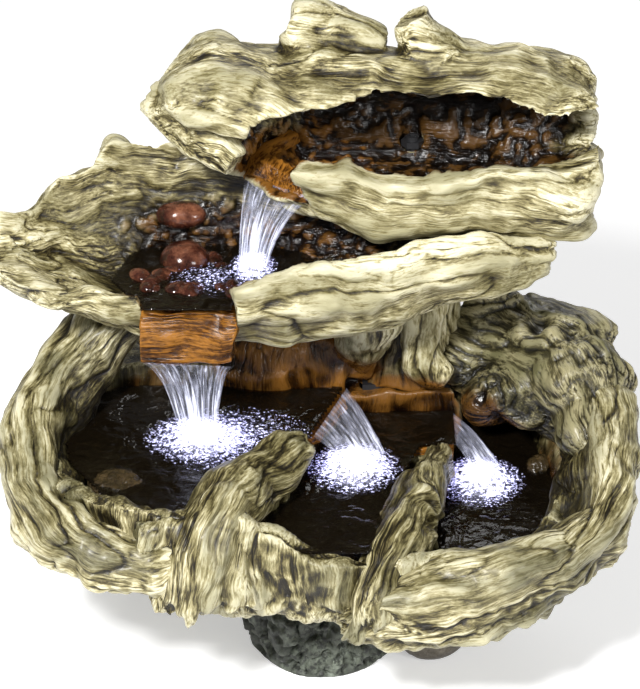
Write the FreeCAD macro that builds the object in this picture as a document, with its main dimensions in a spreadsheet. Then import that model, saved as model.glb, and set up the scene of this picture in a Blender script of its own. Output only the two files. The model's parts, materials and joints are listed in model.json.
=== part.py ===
import FreeCAD, Part
import Sketcher
import math
import os

# Log cascade fountain. Millimetres. X to the right, Y to the back, Z up, the ground at Z = 0.
# The castings are free shapes, so their solids are lofts through rings; the works are bodies
# and primitives whose sizes are bound to the sheet.

os.makedirs("parts", exist_ok=True)
doc = FreeCAD.newDocument("log_cascade_fountain")
sheet = doc.addObject("Spreadsheet::Sheet", "Sizes")
Vector = FreeCAD.Vector

SIZES = [
    # boulder foot
    ("foot_height", 118.0), ("foot_front", 112.0), ("foot_back", 200.0), ("foot_nose", 150.0),
    ("foot_heel", 330.0), ("foot_wall", 14.0), ("foot_floor", 14.0), ("foot_flare", 14.0),
    ("arch_width", 80.0),
    ("side_stone_width", 70.0), ("side_stone_height", 50.0),
    # lower basin; the rises are counted from the top of the foot
    ("basin_left", 258.0), ("basin_right", 246.0), ("basin_front", 205.0), ("basin_back", 188.0),
    ("basin_wall", 16.0), ("back_deck_rise", 127.0), ("rear_deck_rise", 99.0),
    ("left_rim_rise", 113.0), ("centre_rim_rise", 76.0), ("right_rim_rise", 66.0),
    ("left_crest_rise", 104.0), ("centre_crest_rise", 76.0), ("right_water_rise", 42.0),
    ("pool_depth", 32.0), ("divider_width", 36.0),
    # spill lips
    ("left_lip_length", 138.0), ("left_lip_reach", 48.0), ("centre_lip_length", 66.0),
    ("centre_lip_reach", 66.0), ("lip_plate", 9.0), ("middle_lip_width", 84.0),
    ("middle_lip_apron", 50.0), ("upper_lip_width", 82.0), ("upper_lip_drop", 24.0),
    # middle and upper logs
    ("middle_fall", 150.0), ("middle_axis_rise", 26.0), ("middle_left", 298.0), ("middle_right", 214.0),
    ("middle_width", 184.0), ("middle_height", 164.0), ("bowl_depth", 28.0),
    ("upper_fall", 83.0), ("upper_axis_rise", 36.0), ("upper_left", 162.0), ("upper_right", 263.0),
    ("upper_width", 184.0), ("upper_height", 172.0), ("trough_depth", 62.0), ("bark_swell", 0.035),
    ("strand_height", 6.0), ("strand_pitch", 58.0),
    # logs and roots of the lower tier, by their radius
    ("left_log_radius", 38.0), ("right_log_radius", 39.0), ("back_stump_radius", 62.0),
    ("root_radius", 27.0), ("spur_radius", 32.0), ("trunk_radius", 50.0), ("trunk_wall", 12.0),
    ("post_radius", 20.0),
    # pump well, screen and dowels
    ("well_x", 88.0), ("well_y", 130.0), ("well_length", 92.0), ("well_width", 96.0),
    ("well_depth", 125.0), ("well_wall", 5.0), ("well_floor", 6.0), ("window_width", 26.0),
    ("window_height", 28.0), ("screen_margin", 4.0), ("screen_plate", 3.0), ("slot_width", 3.0),
    ("slot_pitch", 6.0), ("dowel_radius", 4.0), ("dowel_length", 44.0),
    # rear door
    ("frame_width", 92.0), ("frame_height", 100.0), ("frame_depth", 42.0), ("frame_wall", 14.0),
    ("frame_rail", 30.0), ("frame_rear", 182.0), ("rebate", 10.0), ("door_plate", 5.0),
    ("door_gap", 1.0), ("knuckle_radius", 3.0), ("knuckle_length", 14.0), ("knuckle_gap", 0.4),
    ("knuckle_lift", 0.4), ("pin_radius", 1.5), ("pin_play", 0.05), ("magnet_radius", 4.0),
    ("magnet_plate", 2.5), ("knob_radius", 6.0), ("knob_length", 10.0),
    ("grommet_bore", 4.0), ("grommet_neck", 6.5), ("grommet_flange", 9.0), ("flange_plate", 2.5),
    ("gland_plate", 6.0), ("gland_pocket", 26.0),
    # drain plug
    ("plug_radius", 6.0), ("plug_flange", 9.0), ("plug_flange_plate", 4.0), ("plug_tab", 9.0),
    ("plug_play", 0.05), ("plug_gap", 0.3), ("plug_rise", 14.0), ("plug_length", 9.0),
    # pump, hose and inlet
    ("pump_length", 38.0), ("pump_width", 44.0), ("pump_height", 44.0), ("pump_y", 112.0),
    ("pump_foot", 6.0), ("pump_foot_radius", 5.5), ("volute_radius", 20.0), ("volute_bore", 16.0),
    ("volute_length", 14.0), ("cover_plate", 4.0), ("rotor_radius", 7.5), ("rotor_length", 28.0),
    ("rotor_gap", 0.7), ("rotor_end_gap", 1.0), ("shaft_radius", 1.5), ("shaft_play", 0.06),
    ("shaft_seat", 3.0), ("blade_radius", 13.0), ("blade_length", 9.0), ("blade_plate", 2.0),
    ("hub_radius", 5.0), ("intake_radius", 3.2), ("intake_pitch", 8.5), ("dial_radius", 14.0),
    ("dial_plate", 3.0), ("dial_gap", 0.4), ("dial_boss", 3.0), ("dial_play", 0.08),
    ("dial_lever", 6.0), ("boss_length", 4.0),
    ("outlet_radius", 5.0), ("outlet_bore", 3.5), ("outlet_length", 24.0), ("hose_wall", 2.0),
    ("hose_grip", 18.0), ("clip_wall", 1.5), ("clip_height", 6.0),
    ("spigot_flange", 11.0), ("spigot_shank", 6.0), ("spigot_plate", 4.0), ("nut_radius", 11.0),
    ("nut_height", 6.0), ("spot_gap", 1.0),
    # lights
    ("light_radius", 18.0), ("light_height", 24.0), ("light_floor", 4.0), ("light_bore", 14.5),
    ("lens_seat", 16.0), ("lens_plate", 5.0), ("seal_height", 2.0), ("board_plate", 1.6),
    ("chip_radius", 4.0), ("chip_height", 1.5), ("light_play", 0.2),
    # stones
    ("pebble_radius", 22.0), ("pool_stone_radius", 36.0),
]
for row, (alias, value) in enumerate(SIZES, 1):
    sheet.set("A%d" % row, alias)
    sheet.set("B%d" % row, repr(value))
    sheet.setAlias("B%d" % row, alias)
doc.recompute()


class Size:
    """A number with the sheet expression it comes from."""

    def __init__(self, value, text):
        self.value = float(value)
        self.text = text

    def join(self, other, sign, value):
        return Size(value, "(%s %s %s)" % (self.text, sign, other.text))

    def __add__(self, other):
        other = as_size(other)
        return self.join(other, "+", self.value + other.value)

    def __sub__(self, other):
        other = as_size(other)
        return self.join(other, "-", self.value - other.value)

    def __mul__(self, other):
        other = as_size(other)
        return self.join(other, "*", self.value * other.value)

    def __truediv__(self, other):
        other = as_size(other)
        return self.join(other, "/", self.value / other.value)

    __radd__ = __add__
    __rmul__ = __mul__

    def __rsub__(self, other):
        return as_size(other) - self

    def __neg__(self):
        return as_size(0) - self

    def __float__(self):
        return self.value


def as_size(value):
    return value if isinstance(value, Size) else Size(value, repr(float(value)))


class Sizes:
    """The sheet's values by name."""

    def __getattr__(self, alias):
        return Size(sheet.get(alias), "Sizes." + alias)


size = Sizes()
nodes = []


# Tools for the free shapes

def ring(centre, side, up, across, high, phase=0.0, swell=None, count=14):
    """Closed smooth wire round a centre, with three low swells."""
    swell = float(size.bark_swell) if swell is None else swell
    points = []
    for i in range(count):
        angle = 2 * math.pi * i / count
        reach = 1 + swell * math.cos(3 * angle + phase)
        points.append(centre + side * (across * reach * math.cos(angle))
                      + up * (high * reach * math.sin(angle)))
    curve = Part.BSplineCurve()
    curve.interpolate(points, PeriodicFlag=True)
    return Part.Wire([curve.toShape()])


def log(stations, flat=1.0):
    """Solid limb through (x, y, z, radius) stations; flat squeezes its height."""
    points = [Vector(*station[:3]) for station in stations]
    rings = []
    for i, station in enumerate(stations):
        run = points[min(i + 1, len(points) - 1)] - points[max(i - 1, 0)]
        run.normalize()
        side = run.cross(Vector(0, 0, 1))
        if side.Length < 0.2:
            side = run.cross(Vector(0, 1, 0))
        side.normalize()
        up = side.cross(run)
        radius = float(station[3])
        rings.append(ring(points[i], side, up, radius, radius * flat, 0.8 * i))
    return Part.makeLoft(rings, True, False)


def trunk_log(stations):
    """Solid limb whose rings lie in the XY plane, for uprights."""
    rings = [ring(Vector(x, y, z), Vector(1, 0, 0), Vector(0, 1, 0), radius, radius, 0.6, 0.05)
             for x, y, z, radius in stations]
    return Part.makeLoft(rings, True, False)


def strand_ring(x, y, z, across, high, strands):
    """Closed smooth wire across X whose outline bulges over each strand of the log."""
    twist = 0.004 * x
    points = []
    for i in range(5 * strands):
        angle = 2 * math.pi * i / (5 * strands)
        bulge = abs(math.sin(0.5 * strands * (angle + 0.12 * math.sin(2 * angle + 3 * twist)) + twist))
        reach = 1 + float(size.bark_swell) * math.cos(3 * angle + 2 * twist)
        lift = float(size.strand_height) * (bulge - 0.64) * min(1.0, high / float(size.strand_pitch))
        points.append(Vector(x, y + (across * reach + lift) * math.cos(angle),
                             z + (high * reach + lift) * math.sin(angle)))
    curve = Part.BSplineCurve()
    curve.interpolate(points, PeriodicFlag=True)
    return Part.Wire([curve.toShape()])


def hull_log(stations):
    """Solid log along X through (x, y, z, half width, half height) stations."""
    girth = math.pi * max(across + high for _, _, _, across, high in stations)
    strands = int(round(girth / float(size.strand_pitch)))
    return Part.makeLoft([strand_ring(*station, strands) for station in stations], True, False)


def hollow(sections):
    """Solid through corner outlines that lie in planes of constant X."""
    wires = [Part.makePolygon([Vector(x, y, z) for y, z in corners + corners[:1]])
             for x, corners in sections]
    return Part.makeLoft(wires, True, True)


def prism(corners, low, high):
    """Upright prism on a plan outline."""
    outline = Part.makePolygon([Vector(x, y, low) for x, y in corners + corners[:1]])
    return Part.Face(outline).extrude(Vector(0, 0, high - low))


def block(x0, x1, y0, y1, z0, z1):
    return Part.makeBox(x1 - x0, y1 - y0, z1 - z0, Vector(x0, y0, z0))


def plan_ring(z, left, right, front, back, centre_y, square=2.8, count=28):
    """Rounded plan outline with its own reach on each side."""
    points = []
    for i in range(count):
        angle = 2 * math.pi * i / count
        c, s = math.cos(angle), math.sin(angle)
        x = math.copysign(abs(c) ** (2 / square), c) * (right if c > 0 else left)
        y = math.copysign(abs(s) ** (2 / square), s) * (back if s > 0 else front)
        points.append(Vector(x, centre_y + y, z))
    curve = Part.BSplineCurve()
    curve.interpolate(points, PeriodicFlag=True)
    return Part.Wire([curve.toShape()])


def stone(centre, across, deep, high):
    """Smooth stone: a ball stretched three ways."""
    ball = Part.makeSphere(1.0)
    matrix = FreeCAD.Matrix()
    matrix.scale(across, deep, high)
    shape = ball.transformGeometry(matrix)
    shape.translate(centre)
    return shape


def largest(shape):
    return max(shape.Solids, key=lambda solid: solid.Volume)


def casting(label, shape):
    """Adds a free solid to the document under its node name."""
    part = doc.addObject("Part::Feature", label)
    part.Label = label
    part.Shape = shape
    part.Placement = FreeCAD.Placement()
    nodes.append(part)
    return part


# Tools for the works

def place(thing, x, y, z, rotation=None):
    thing.Placement = FreeCAD.Placement(Vector(), rotation or FreeCAD.Rotation())
    for axis, value in zip("xyz", (x, y, z)):
        thing.setExpression("Placement.Base." + axis, as_size(value).text)
    return thing


def bind(thing, **values):
    for name, value in values.items():
        thing.setExpression(name, as_size(value).text)
    return thing


def brick(label, x, y, z, length, width, height):
    thing = doc.addObject("Part::Box", label)
    bind(thing, Length=length, Width=width, Height=height)
    return place(thing, x, y, z)


TURN = {"x": FreeCAD.Rotation(Vector(0, 1, 0), 90), "y": FreeCAD.Rotation(Vector(1, 0, 0), -90),
        "z": FreeCAD.Rotation()}


def rod(label, x, y, z, radius, height, axis="z"):
    thing = doc.addObject("Part::Cylinder", label)
    bind(thing, Radius=radius, Height=height)
    return place(thing, x, y, z, TURN[axis])


def joined(label, things):
    thing = doc.addObject("Part::MultiFuse", label)
    thing.Shapes = things
    return thing


def less(label, base, tools):
    thing = doc.addObject("Part::Cut", label)
    thing.Base = base
    thing.Tool = tools[0] if len(tools) == 1 else joined(label + "_cuts", tools)
    return thing


def grouped(label, things):
    thing = doc.addObject("Part::Compound", label)
    thing.Links = things
    return thing


def node(thing, label):
    thing.Label = label
    nodes.append(thing)
    return thing


def plane(body, role):
    return [f for f in body.Origin.OriginFeatures if f.Role == role][0]


def outline(body, role, corners, name):
    """Sketch of straight edges, every corner held to the sheet."""
    sketch = body.newObject("Sketcher::SketchObject", name)
    sketch.AttachmentSupport = (plane(body, role), [""])
    sketch.MapMode = "FlatFace"
    spots = [Vector(float(a), float(b), 0) for a, b in corners]
    for i, spot in enumerate(spots):
        sketch.addGeometry(Part.LineSegment(spot, spots[(i + 1) % len(spots)]))
    for i in range(len(spots)):
        follower = (i + 1) % len(spots)
        sketch.addConstraint(Sketcher.Constraint("Coincident", i, 2, follower, 1))
    for i, (a, b) in enumerate(corners):
        for kind, value in (("DistanceX", a), ("DistanceY", b)):
            value = as_size(value)
            index = sketch.addConstraint(Sketcher.Constraint(kind, -1, 1, i, 1, value.value))
            sketch.setExpression("Constraints[%d]" % index, value.text)
    return sketch


def turned(label, corners):
    """Body turned about Z from (radius, height) corners."""
    body = doc.addObject("PartDesign::Body", label)
    sketch = outline(body, "XZ_Plane", corners, label + "_profile")
    turn = body.newObject("PartDesign::Revolution", label + "_turn")
    turn.Profile = sketch
    turn.ReferenceAxis = (sketch, ["V_Axis"])
    turn.Angle = 360.0
    return body


def extruded(label, role, corners, length, both=False):
    """Body padded from a sketch on one of its origin planes."""
    body = doc.addObject("PartDesign::Body", label)
    sketch = outline(body, role, corners, label + "_profile")
    pad = body.newObject("PartDesign::Pad", label + "_pad")
    pad.Profile = sketch
    pad.Midplane = both
    bind(pad, Length=length)
    return body


# Levels above the ground

foot_top = size.foot_height
back_deck = foot_top + size.back_deck_rise
rear_deck = foot_top + size.rear_deck_rise
left_rim = foot_top + size.left_rim_rise
centre_rim = foot_top + size.centre_rim_rise
right_rim = foot_top + size.right_rim_rise
left_crest = foot_top + size.left_crest_rise
centre_crest = foot_top + size.centre_crest_rise
right_water = foot_top + size.right_water_rise
left_floor = left_crest - size.pool_depth
centre_floor = centre_crest - size.pool_depth
right_floor = right_water - size.pool_depth
middle_crest = left_crest + size.middle_fall
middle_axis = middle_crest + size.middle_axis_rise
bowl_floor = middle_crest - size.bowl_depth
upper_edge = middle_crest + size.upper_fall
upper_axis = upper_edge + size.upper_axis_rise
well_left = size.well_x - size.well_length / 2
well_right = size.well_x + size.well_length / 2
well_front = size.well_y - size.well_width / 2
well_back = size.well_y + size.well_width / 2
well_base = rear_deck - size.well_depth
frame_base = rear_deck
frame_left = size.well_x - size.frame_width / 2
frame_front = size.frame_rear - size.frame_depth
hose_x = size.well_x
hose_y = size.pump_y - size.volute_length / 2
pump_base = well_base + size.well_floor + size.pump_foot
pump_axis = pump_base + size.pump_height / 2
plug_z = well_base + size.plug_rise


# Boulder foot: a cup with a closed flat sole, an arch at the back, and a mouth for the pump well

def foot_ring(z, grow, wall=0.0):
    nose = float(size.foot_nose) / 2 + grow - wall
    heel = float(size.foot_heel) / 2 + grow - wall
    front = float(size.foot_front) + 0.6 * grow - wall
    back = float(size.foot_back) - wall
    points = [(0.10 * nose, -front), (0.80 * nose, 0.72 * -front), (nose, -30), (1.02 * nose, 20),
              (0.90 * heel, 80), (heel, 134), (0.84 * heel, back - 6), (0, back), (-0.84 * heel, back - 6),
              (-heel, 134), (-0.90 * heel, 80), (-1.02 * nose, 20), (-nose, -30),
              (-0.68 * nose, 0.76 * -front)]
    curve = Part.BSplineCurve()
    curve.interpolate([Vector(x, y, z) for x, y in points], PeriodicFlag=True)
    return Part.Wire([curve.toShape()])


top = float(foot_top)
flare = float(size.foot_flare)
foot_outer = Part.makeLoft([foot_ring(0, -4), foot_ring(0.2 * top, 2), foot_ring(0.6 * top, 0.5 * flare),
                            foot_ring(top, flare)], True, False)
foot_inner = Part.makeLoft([foot_ring(float(size.foot_floor), 0, float(size.foot_wall)),
                            foot_ring(0.6 * top, 0.5 * flare, float(size.foot_wall)),
                            foot_ring(top + 2, flare, float(size.foot_wall))], True, False)
arch_x = float(size.well_x)
arch = block(arch_x - float(size.arch_width) / 2, arch_x + float(size.arch_width) / 2, float(well_back) - 6,
             float(size.foot_back) + 60, float(size.foot_floor), top + 20)
well_room = block(float(well_left) - 1, float(well_right) + 1, float(well_front) - 1, float(well_back) + 1,
                  float(well_base) - 1, top + 20)
foot_solid = foot_outer.cut(foot_inner).cut(arch).cut(well_room)

stone_x = float(size.foot_nose) / 2 + 33
stone_half = float(size.side_stone_width) / 2
stone_high = float(size.side_stone_height)
side_stone = stone(Vector(stone_x, -62, 0.46 * stone_high), stone_half, 30, 0.54 * stone_high)
small_stone = stone(Vector(stone_x - 36, -74, 34), 24, 24, 22)
ground = block(-600, 600, -600, 600, -200, 0)
side_stone = side_stone.cut(ground).cut(foot_outer)
small_stone = small_stone.cut(foot_outer).cut(side_stone)

# Lower basin: a bowl with a sloping rim, three pools and a mouth for the pump well

basin_y = -10.0
wall = float(size.basin_wall)


def bowl_ring(z, left, right, along, inset=0.0):
    return plan_ring(z, float(size.basin_left) * left - inset, float(size.basin_right) * right - inset,
                     (float(size.basin_front) + basin_y) * along - inset,
                     (float(size.basin_back) - basin_y) * along - inset, basin_y)


deck = float(back_deck)
bowl_tall = deck - top
bowl_outer = Part.makeLoft([bowl_ring(top, 0.64, 0.76, 0.90),
                            bowl_ring(top + 0.16 * bowl_tall, 0.78, 0.91, 0.97),
                            bowl_ring(top + 0.45 * bowl_tall, 0.96, 0.99, 1.0),
                            bowl_ring(deck, 1.0, 1.0, 1.0)],
                           True, False)
bowl_inner = Part.makeLoft([bowl_ring(top + 6, 0.70, 0.81, 0.92, wall),
                            bowl_ring(top + 0.22 * bowl_tall, 0.83, 0.94, 0.97, wall),
                            bowl_ring(top + 0.5 * bowl_tall, 0.96, 0.99, 1.0, wall),
                            bowl_ring(deck + 4, 1.0, 1.0, 1.0, wall)], True, False)

half = float(size.divider_width) / 2
lip_front = -64.0
lip_back = lip_front + 0.94 * float(size.left_lip_length)
front_y = -float(size.basin_front)
near_x, far_x = -38.0, 8.0
shelf_edge = 112.0
sump_front = float(well_front) - 8
sump_back = float(well_front) + 42
pool_back = 70.0
left_divider = [(-96, front_y), (near_x, lip_front), (far_x, lip_back)]
right_divider = [(60, front_y), (shelf_edge, 0), (shelf_edge, sump_front)]
far = 420.0


def shifted(line, by):
    return [(x + by, y) for x, y in line]


left_pool_plan = ([(-far, front_y), (-far, 56)] + [(-150, 72), (-20, 60)]
                  + list(reversed(shifted(left_divider[:2], -half))))
shelf_x = shelf_edge + half - float(size.centre_lip_reach)
centre_pool_plan = (shifted(left_divider, half) + [(30, pool_back), (shelf_x, pool_back), (shelf_x, 0)]
                    + list(reversed(shifted(right_divider[:2], -half))))
right_pool_plan = (shifted(right_divider, half) + [(float(well_right), sump_front),
                                                   (float(well_right), sump_back),
                                                     (far, sump_back), (far, front_y)])
pools = [bowl_inner.common(prism(plan, float(floor), deck + 2))
         for plan, floor in ((left_pool_plan, left_floor), (centre_pool_plan, centre_floor),
                             (right_pool_plan, right_floor))]
rim_line = [(-far, float(left_rim)), (-70, float(left_rim)), (0, float(centre_rim)),
            (80, float(centre_rim) - 4),
            (150, float(right_rim)), (far, float(right_rim)), (far, 400), (-far, 400)]
rim_cut = Part.Face(Part.makePolygon([Vector(x, -400, z) for x, z in rim_line + rim_line[:1]]))
rim_cut = rim_cut.extrude(Vector(0, 420, 0))
left_notch = prism([(near_x - half - 40, lip_front), (near_x + half + 60, lip_front),
                    (far_x + half + 60, lip_back), (far_x - half - 20, lip_back)],
                    float(left_crest) - float(size.lip_plate), 400)
centre_notch = block(shelf_x - 4, 240, 0, float(well_front) - 12,
                     float(centre_crest) - float(size.lip_plate), 400)
rear_cut = block(26, 172, float(well_front) - 12, 300, float(rear_deck), 400)
right_cut = block(128, far, -60, float(well_front) + 40, float(right_rim) + 18, 400)
well_hole = block(float(well_left), float(well_right), float(well_front), float(well_back), 0, 400)
basin_solid = bowl_outer
for cutter in pools + [rim_cut, left_notch, centre_notch, rear_cut, right_cut, well_hole]:
    basin_solid = basin_solid.cut(cutter)
basin_solid = largest(basin_solid)

# Upper log: a bored log with a slot along its front, a mouth at its lower left, and two branch stubs

upper_y = 60.0
axis_z = float(upper_axis)
upper_half = float(size.upper_width) / 2
upper_tall = float(size.upper_height) / 2
upper_left = -float(size.upper_left)
upper_run = float(size.upper_right) - upper_left
upper_shape = [(0.0, 0.40, 42, 0.16), (0.085, 0.76, 52, 0.43), (0.215, 0.92, 31, 0.73),
               (0.38, 0.98, 12, 0.92),
               (0.52, 1.0, 1, 1.0), (0.75, 1.0, -2, 1.0), (0.92, 0.96, -8, 0.94), (1.0, 0.80, -14, 0.82)]
upper_outer = hull_log([(upper_left + share * upper_run, upper_y, axis_z + rise, across * upper_half,
                         tall * upper_tall) for share, across, rise, tall in upper_shape])
flat_stub = log([(4, 72, axis_z + 62, 27), (-10, 74, axis_z + 90, 25), (-26, 76, axis_z + 112, 19)])
round_stub = log([(104, 62, axis_z + 60, 40), (97, 62, axis_z + 86, 26), (90, 62, axis_z + 112, 22)])
upper_outer = upper_outer.fuse(flat_stub).fuse(round_stub)

trough_floor = axis_z + 15 - float(size.trough_depth)
bore_y, bore_half = 50.0, 64.0
slot_front = -90.0


def trough(x, squeeze, rim, floor, roof, brow):
    """Keyhole outline: the bore and its slot to the front between rim and brow."""
    y0, y1 = bore_y - bore_half * squeeze, bore_y + bore_half * squeeze
    middle = 0.5 * (floor + roof)
    return (x, [(slot_front, rim - 6), (y0, rim), (y0 - 2, 0.5 * (rim + floor)),
                (bore_y - 40 * squeeze, floor + 5), (bore_y + 2, floor),
                (bore_y + 46 * squeeze, floor + 10),
                (y1, middle), (bore_y + 50 * squeeze, roof - 12), (bore_y, roof), (y0 + 10, brow),
                (slot_front, brow + 16)])


upper_bore = hollow([trough(-66, 0.42, axis_z + 18, axis_z - 6, axis_z + 50, axis_z + 44),
                     trough(-20, 0.86, axis_z + 6, trough_floor + 6, axis_z + 66, axis_z + 64),
                     trough(50, 1.0, axis_z, trough_floor, axis_z + 74, axis_z + 74),
                     trough(160, 1.0, axis_z + 2, trough_floor, axis_z + 70, axis_z + 68),
                     trough(230, 0.72, axis_z + 10, trough_floor + 20, axis_z + 50, axis_z + 48),
                     trough(290, 0.42, axis_z + 14, axis_z, axis_z + 42, axis_z + 38)])

# The upper lip stands across the flow: its edge runs from the left back to the right front
lip_turn = FreeCAD.Rotation(Vector(0, 0, 1), -37)
lip_spot = Vector(-38, 29, 0)
lip_along = lip_turn.multVec(Vector(1, 0, 0))
lip_out = lip_turn.multVec(Vector(0, -1, 0))


def lip_point(along, out, z):
    spot = lip_spot + lip_along * along + lip_out * out
    return Vector(spot.x, spot.y, z)


def lip_prism(profile, width):
    """Prism across the upper lip from an (out, z) profile."""
    corners = [lip_point(-width / 2, out, z) for out, z in profile]
    face = Part.Face(Part.makePolygon(corners + corners[:1]))
    return face.extrude(lip_along * width)


edge_z = float(upper_edge)
lip_width = float(size.upper_lip_width)
drop = float(size.upper_lip_drop)
plate = float(size.lip_plate)
lip_profile = [(-64, edge_z + drop + 2), (-30, edge_z + drop), (-10, edge_z + 0.6 * drop), (0, edge_z)]
lip_under = [(-2, edge_z - plate * 0.6), (-14, edge_z + 0.6 * drop - plate), (-32, edge_z + drop - plate),
             (-64, edge_z + drop + 2 - plate)]
upper_lip = lip_prism(lip_profile + lip_under, lip_width)
upper_mouth = lip_prism(lip_profile + [(90, edge_z - 20), (90, edge_z + 70), (0, edge_z + 70),
                                       (-64, edge_z + 58)],
                        lip_width)
upper_solid = upper_outer.cut(upper_bore).cut(upper_mouth).cut(upper_lip)
upper_solid = upper_solid.cut(lip_prism([(-2, edge_z - 4), (90, edge_z - 4), (90, edge_z - 120),
                                         (-2, edge_z - 70)],
                                        lip_width))
inlet_hole = Part.makeCylinder(float(size.spigot_shank), 160,
                               Vector(float(hose_x), float(hose_y), axis_z - 150))
spot_low = axis_z - 70
spot_high = axis_z - 26
spot_radius = float(size.spigot_flange) + float(size.spot_gap)
spot_below = Part.makeCylinder(spot_radius, 100, Vector(float(hose_x), float(hose_y), spot_low - 100))
spot_above = Part.makeCylinder(spot_radius, 40, Vector(float(hose_x), float(hose_y), spot_high))
upper_solid = largest(upper_solid.cut(inlet_hole).cut(spot_below).cut(spot_above))
upper_lip = largest(upper_lip.common(upper_outer.cut(upper_bore).fuse(
    lip_prism([(-20, edge_z - 30), (6, edge_z - 30), (6, edge_z + 30), (-20, edge_z + 30)], lip_width))))

# Middle log: a half pipe, deepest at the bowl, with a notch for its lip

mid_z = float(middle_axis)
mid_half = float(size.middle_width) / 2
mid_tall = float(size.middle_height) / 2
mid_left = -float(size.middle_left)
mid_run = float(size.middle_right) - mid_left
middle_shape = [(0.0, 0.34, 10, -4, 0.30), (0.09, 0.76, 20, -2, 0.64), (0.19, 0.92, 25, 6, 0.95),
                (0.33, 1.0, 28, 8, 1.12), (0.485, 0.96, 28, -6, 0.98), (0.66, 0.85, 30, -8, 0.88),
                (0.835, 0.68, 30, -4, 0.60), (0.95, 0.50, 28, 2, 0.40), (1.0, 0.38, 28, 2, 0.28)]
middle_outer = hull_log([(mid_left + share * mid_run, y, mid_z + rise, across * mid_half, tall * mid_tall)
                         for share, across, y, rise, tall in middle_shape])
crest = float(middle_crest)
bowl = float(bowl_floor)


def scoop(x, front, back, floor, rim):
    """Outline of the half pipe's hollow, open above the front rim."""
    middle = 0.5 * (front + back)
    return (x, [(-140, rim - 4), (front - 4, rim), (front + 6, floor + 0.45 * (rim - floor)),
                (middle - 22, floor),
                (middle + 16, floor), (back - 12, floor + 24), (back, floor + 80), (back, 700),
                (-140, 700)])


middle_scoop = hollow([scoop(-330, -16, 38, crest + 30, crest + 34),
                       scoop(-250, -30, 62, crest + 10, crest + 22),
                       scoop(-190, -40, 76, crest - 10, crest + 14), scoop(-130, -46, 84, bowl, crest + 12),
                       scoop(-60, -44, 84, bowl, crest + 26), scoop(20, -34, 78, crest - 4, crest + 44),
                       scoop(110, -18, 66, crest + 20, crest + 54),
                       scoop(190, -2, 54, crest + 36, crest + 50),
                       scoop(240, 4, 50, crest + 42, crest + 50)])
notch_half = float(size.middle_lip_width) / 2
notch_x = -122.0
apron = float(size.middle_lip_apron)
notch = block(notch_x - notch_half, notch_x + notch_half, -140, -8, crest - plate, crest + 200)
middle_solid = middle_outer.cut(middle_scoop).cut(notch).cut(upper_outer).cut(upper_lip)
light_spots = [(-60, 30, bowl_floor), (-109, -38, left_floor), (33, -48, centre_floor),
               (156, -8, right_floor)]
hose_room = Part.makeCylinder(float(size.spigot_flange) + 2, 480, Vector(float(hose_x), float(hose_y), 0))
light_seat = Part.makeCylinder(float(size.light_radius) + 0.5, 120, Vector(*light_spots[0][:2], bowl))
middle_solid = largest(middle_solid.cut(light_seat).cut(hose_room))

middle_lip_profile = [(-8, crest - plate), (-8, crest - 1), (-32, crest), (-50, crest - 2),
                      (-60, crest - 10),
                      (-66, crest - 0.5 * apron), (-66, crest - apron), (-58, crest - apron - 6),
                      (-30, crest - apron - 6), (-46, crest - 0.6 * apron), (-46, crest - plate)]
corners = [Vector(notch_x - notch_half, y, z) for y, z in middle_lip_profile]
middle_lip = Part.Face(Part.makePolygon(corners + corners[:1])).extrude(Vector(2 * notch_half, 0, 0))
middle_lip = largest(middle_lip.cut(middle_solid))

# Lips of the left and centre pools
left_run = Vector(far_x - near_x, lip_back - lip_front, 0)
left_run.normalize()
left_out = Vector(left_run.y, -left_run.x, 0)
left_start = Vector(near_x + half, lip_front, 0)
reach = float(size.left_lip_reach)
base = float(left_crest)


def left_lip_point(out, z):
    spot = left_start + left_out * out
    return Vector(spot.x, spot.y, z)


left_lip_profile = [(-reach, base - plate), (-reach, base - 3), (-0.6 * reach, base), (-6, base - 1),
                    (3, base - 5),
                    (5, base - 16), (0, base - 18), (-2, base - plate)]
corners = [left_lip_point(out, z) for out, z in left_lip_profile]
left_lip = Part.Face(Part.makePolygon(corners + corners[:1])).extrude(left_run * float(size.left_lip_length))
left_lip = largest(left_lip.cut(basin_solid))

base = float(centre_crest)
reach = float(size.centre_lip_reach)
edge_x = shelf_edge + half
centre_lip_profile = [(edge_x - reach, base - plate), (edge_x - reach, base - 3),
                      (edge_x - 0.5 * reach, base),
                      (edge_x - 3, base - 1), (edge_x + 4, base - 5), (edge_x + 5, base - 16),
                      (edge_x, base - 18),
                      (edge_x, base - plate)]
corners = [Vector(x, 1, z) for x, z in centre_lip_profile]
centre_lip = Part.Face(Part.makePolygon(corners + corners[:1])).extrude(
    Vector(0, float(size.centre_lip_length), 0))
centre_lip = largest(centre_lip.cut(basin_solid))

# Logs and roots of the lower tier, each seated on the castings beside it
left_log_r = float(size.left_log_radius)
left_prop = log([(-124, -194, top + 66, 0.55 * left_log_r), (-178, -188, top + 62, 0.80 * left_log_r),
                 (-226, -158, top + 70, 0.95 * left_log_r), (-252, -104, top + 92, left_log_r),
                 (-260, -45, top + 118, left_log_r), (-244, 8, top + 148, 0.95 * left_log_r),
                 (-205, 48, top + 182, 0.86 * left_log_r), (-170, 66, crest - 40, 0.8 * left_log_r)])
left_prop = largest(left_prop.cut(basin_solid).cut(middle_outer))

right_log_r = float(size.right_log_radius)
right_log = log([(74, -200, top + 32, 0.50 * right_log_r), (108, -198, top + 41, 0.82 * right_log_r),
                 (168, -186, top + 50, right_log_r), (226, -148, top + 62, right_log_r),
                 (254, -88, top + 82, right_log_r), (260, -20, top + 104, 0.95 * right_log_r),
                 (252, 30, top + 114, 0.85 * right_log_r)])
right_log = largest(right_log.cut(basin_solid))

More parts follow.
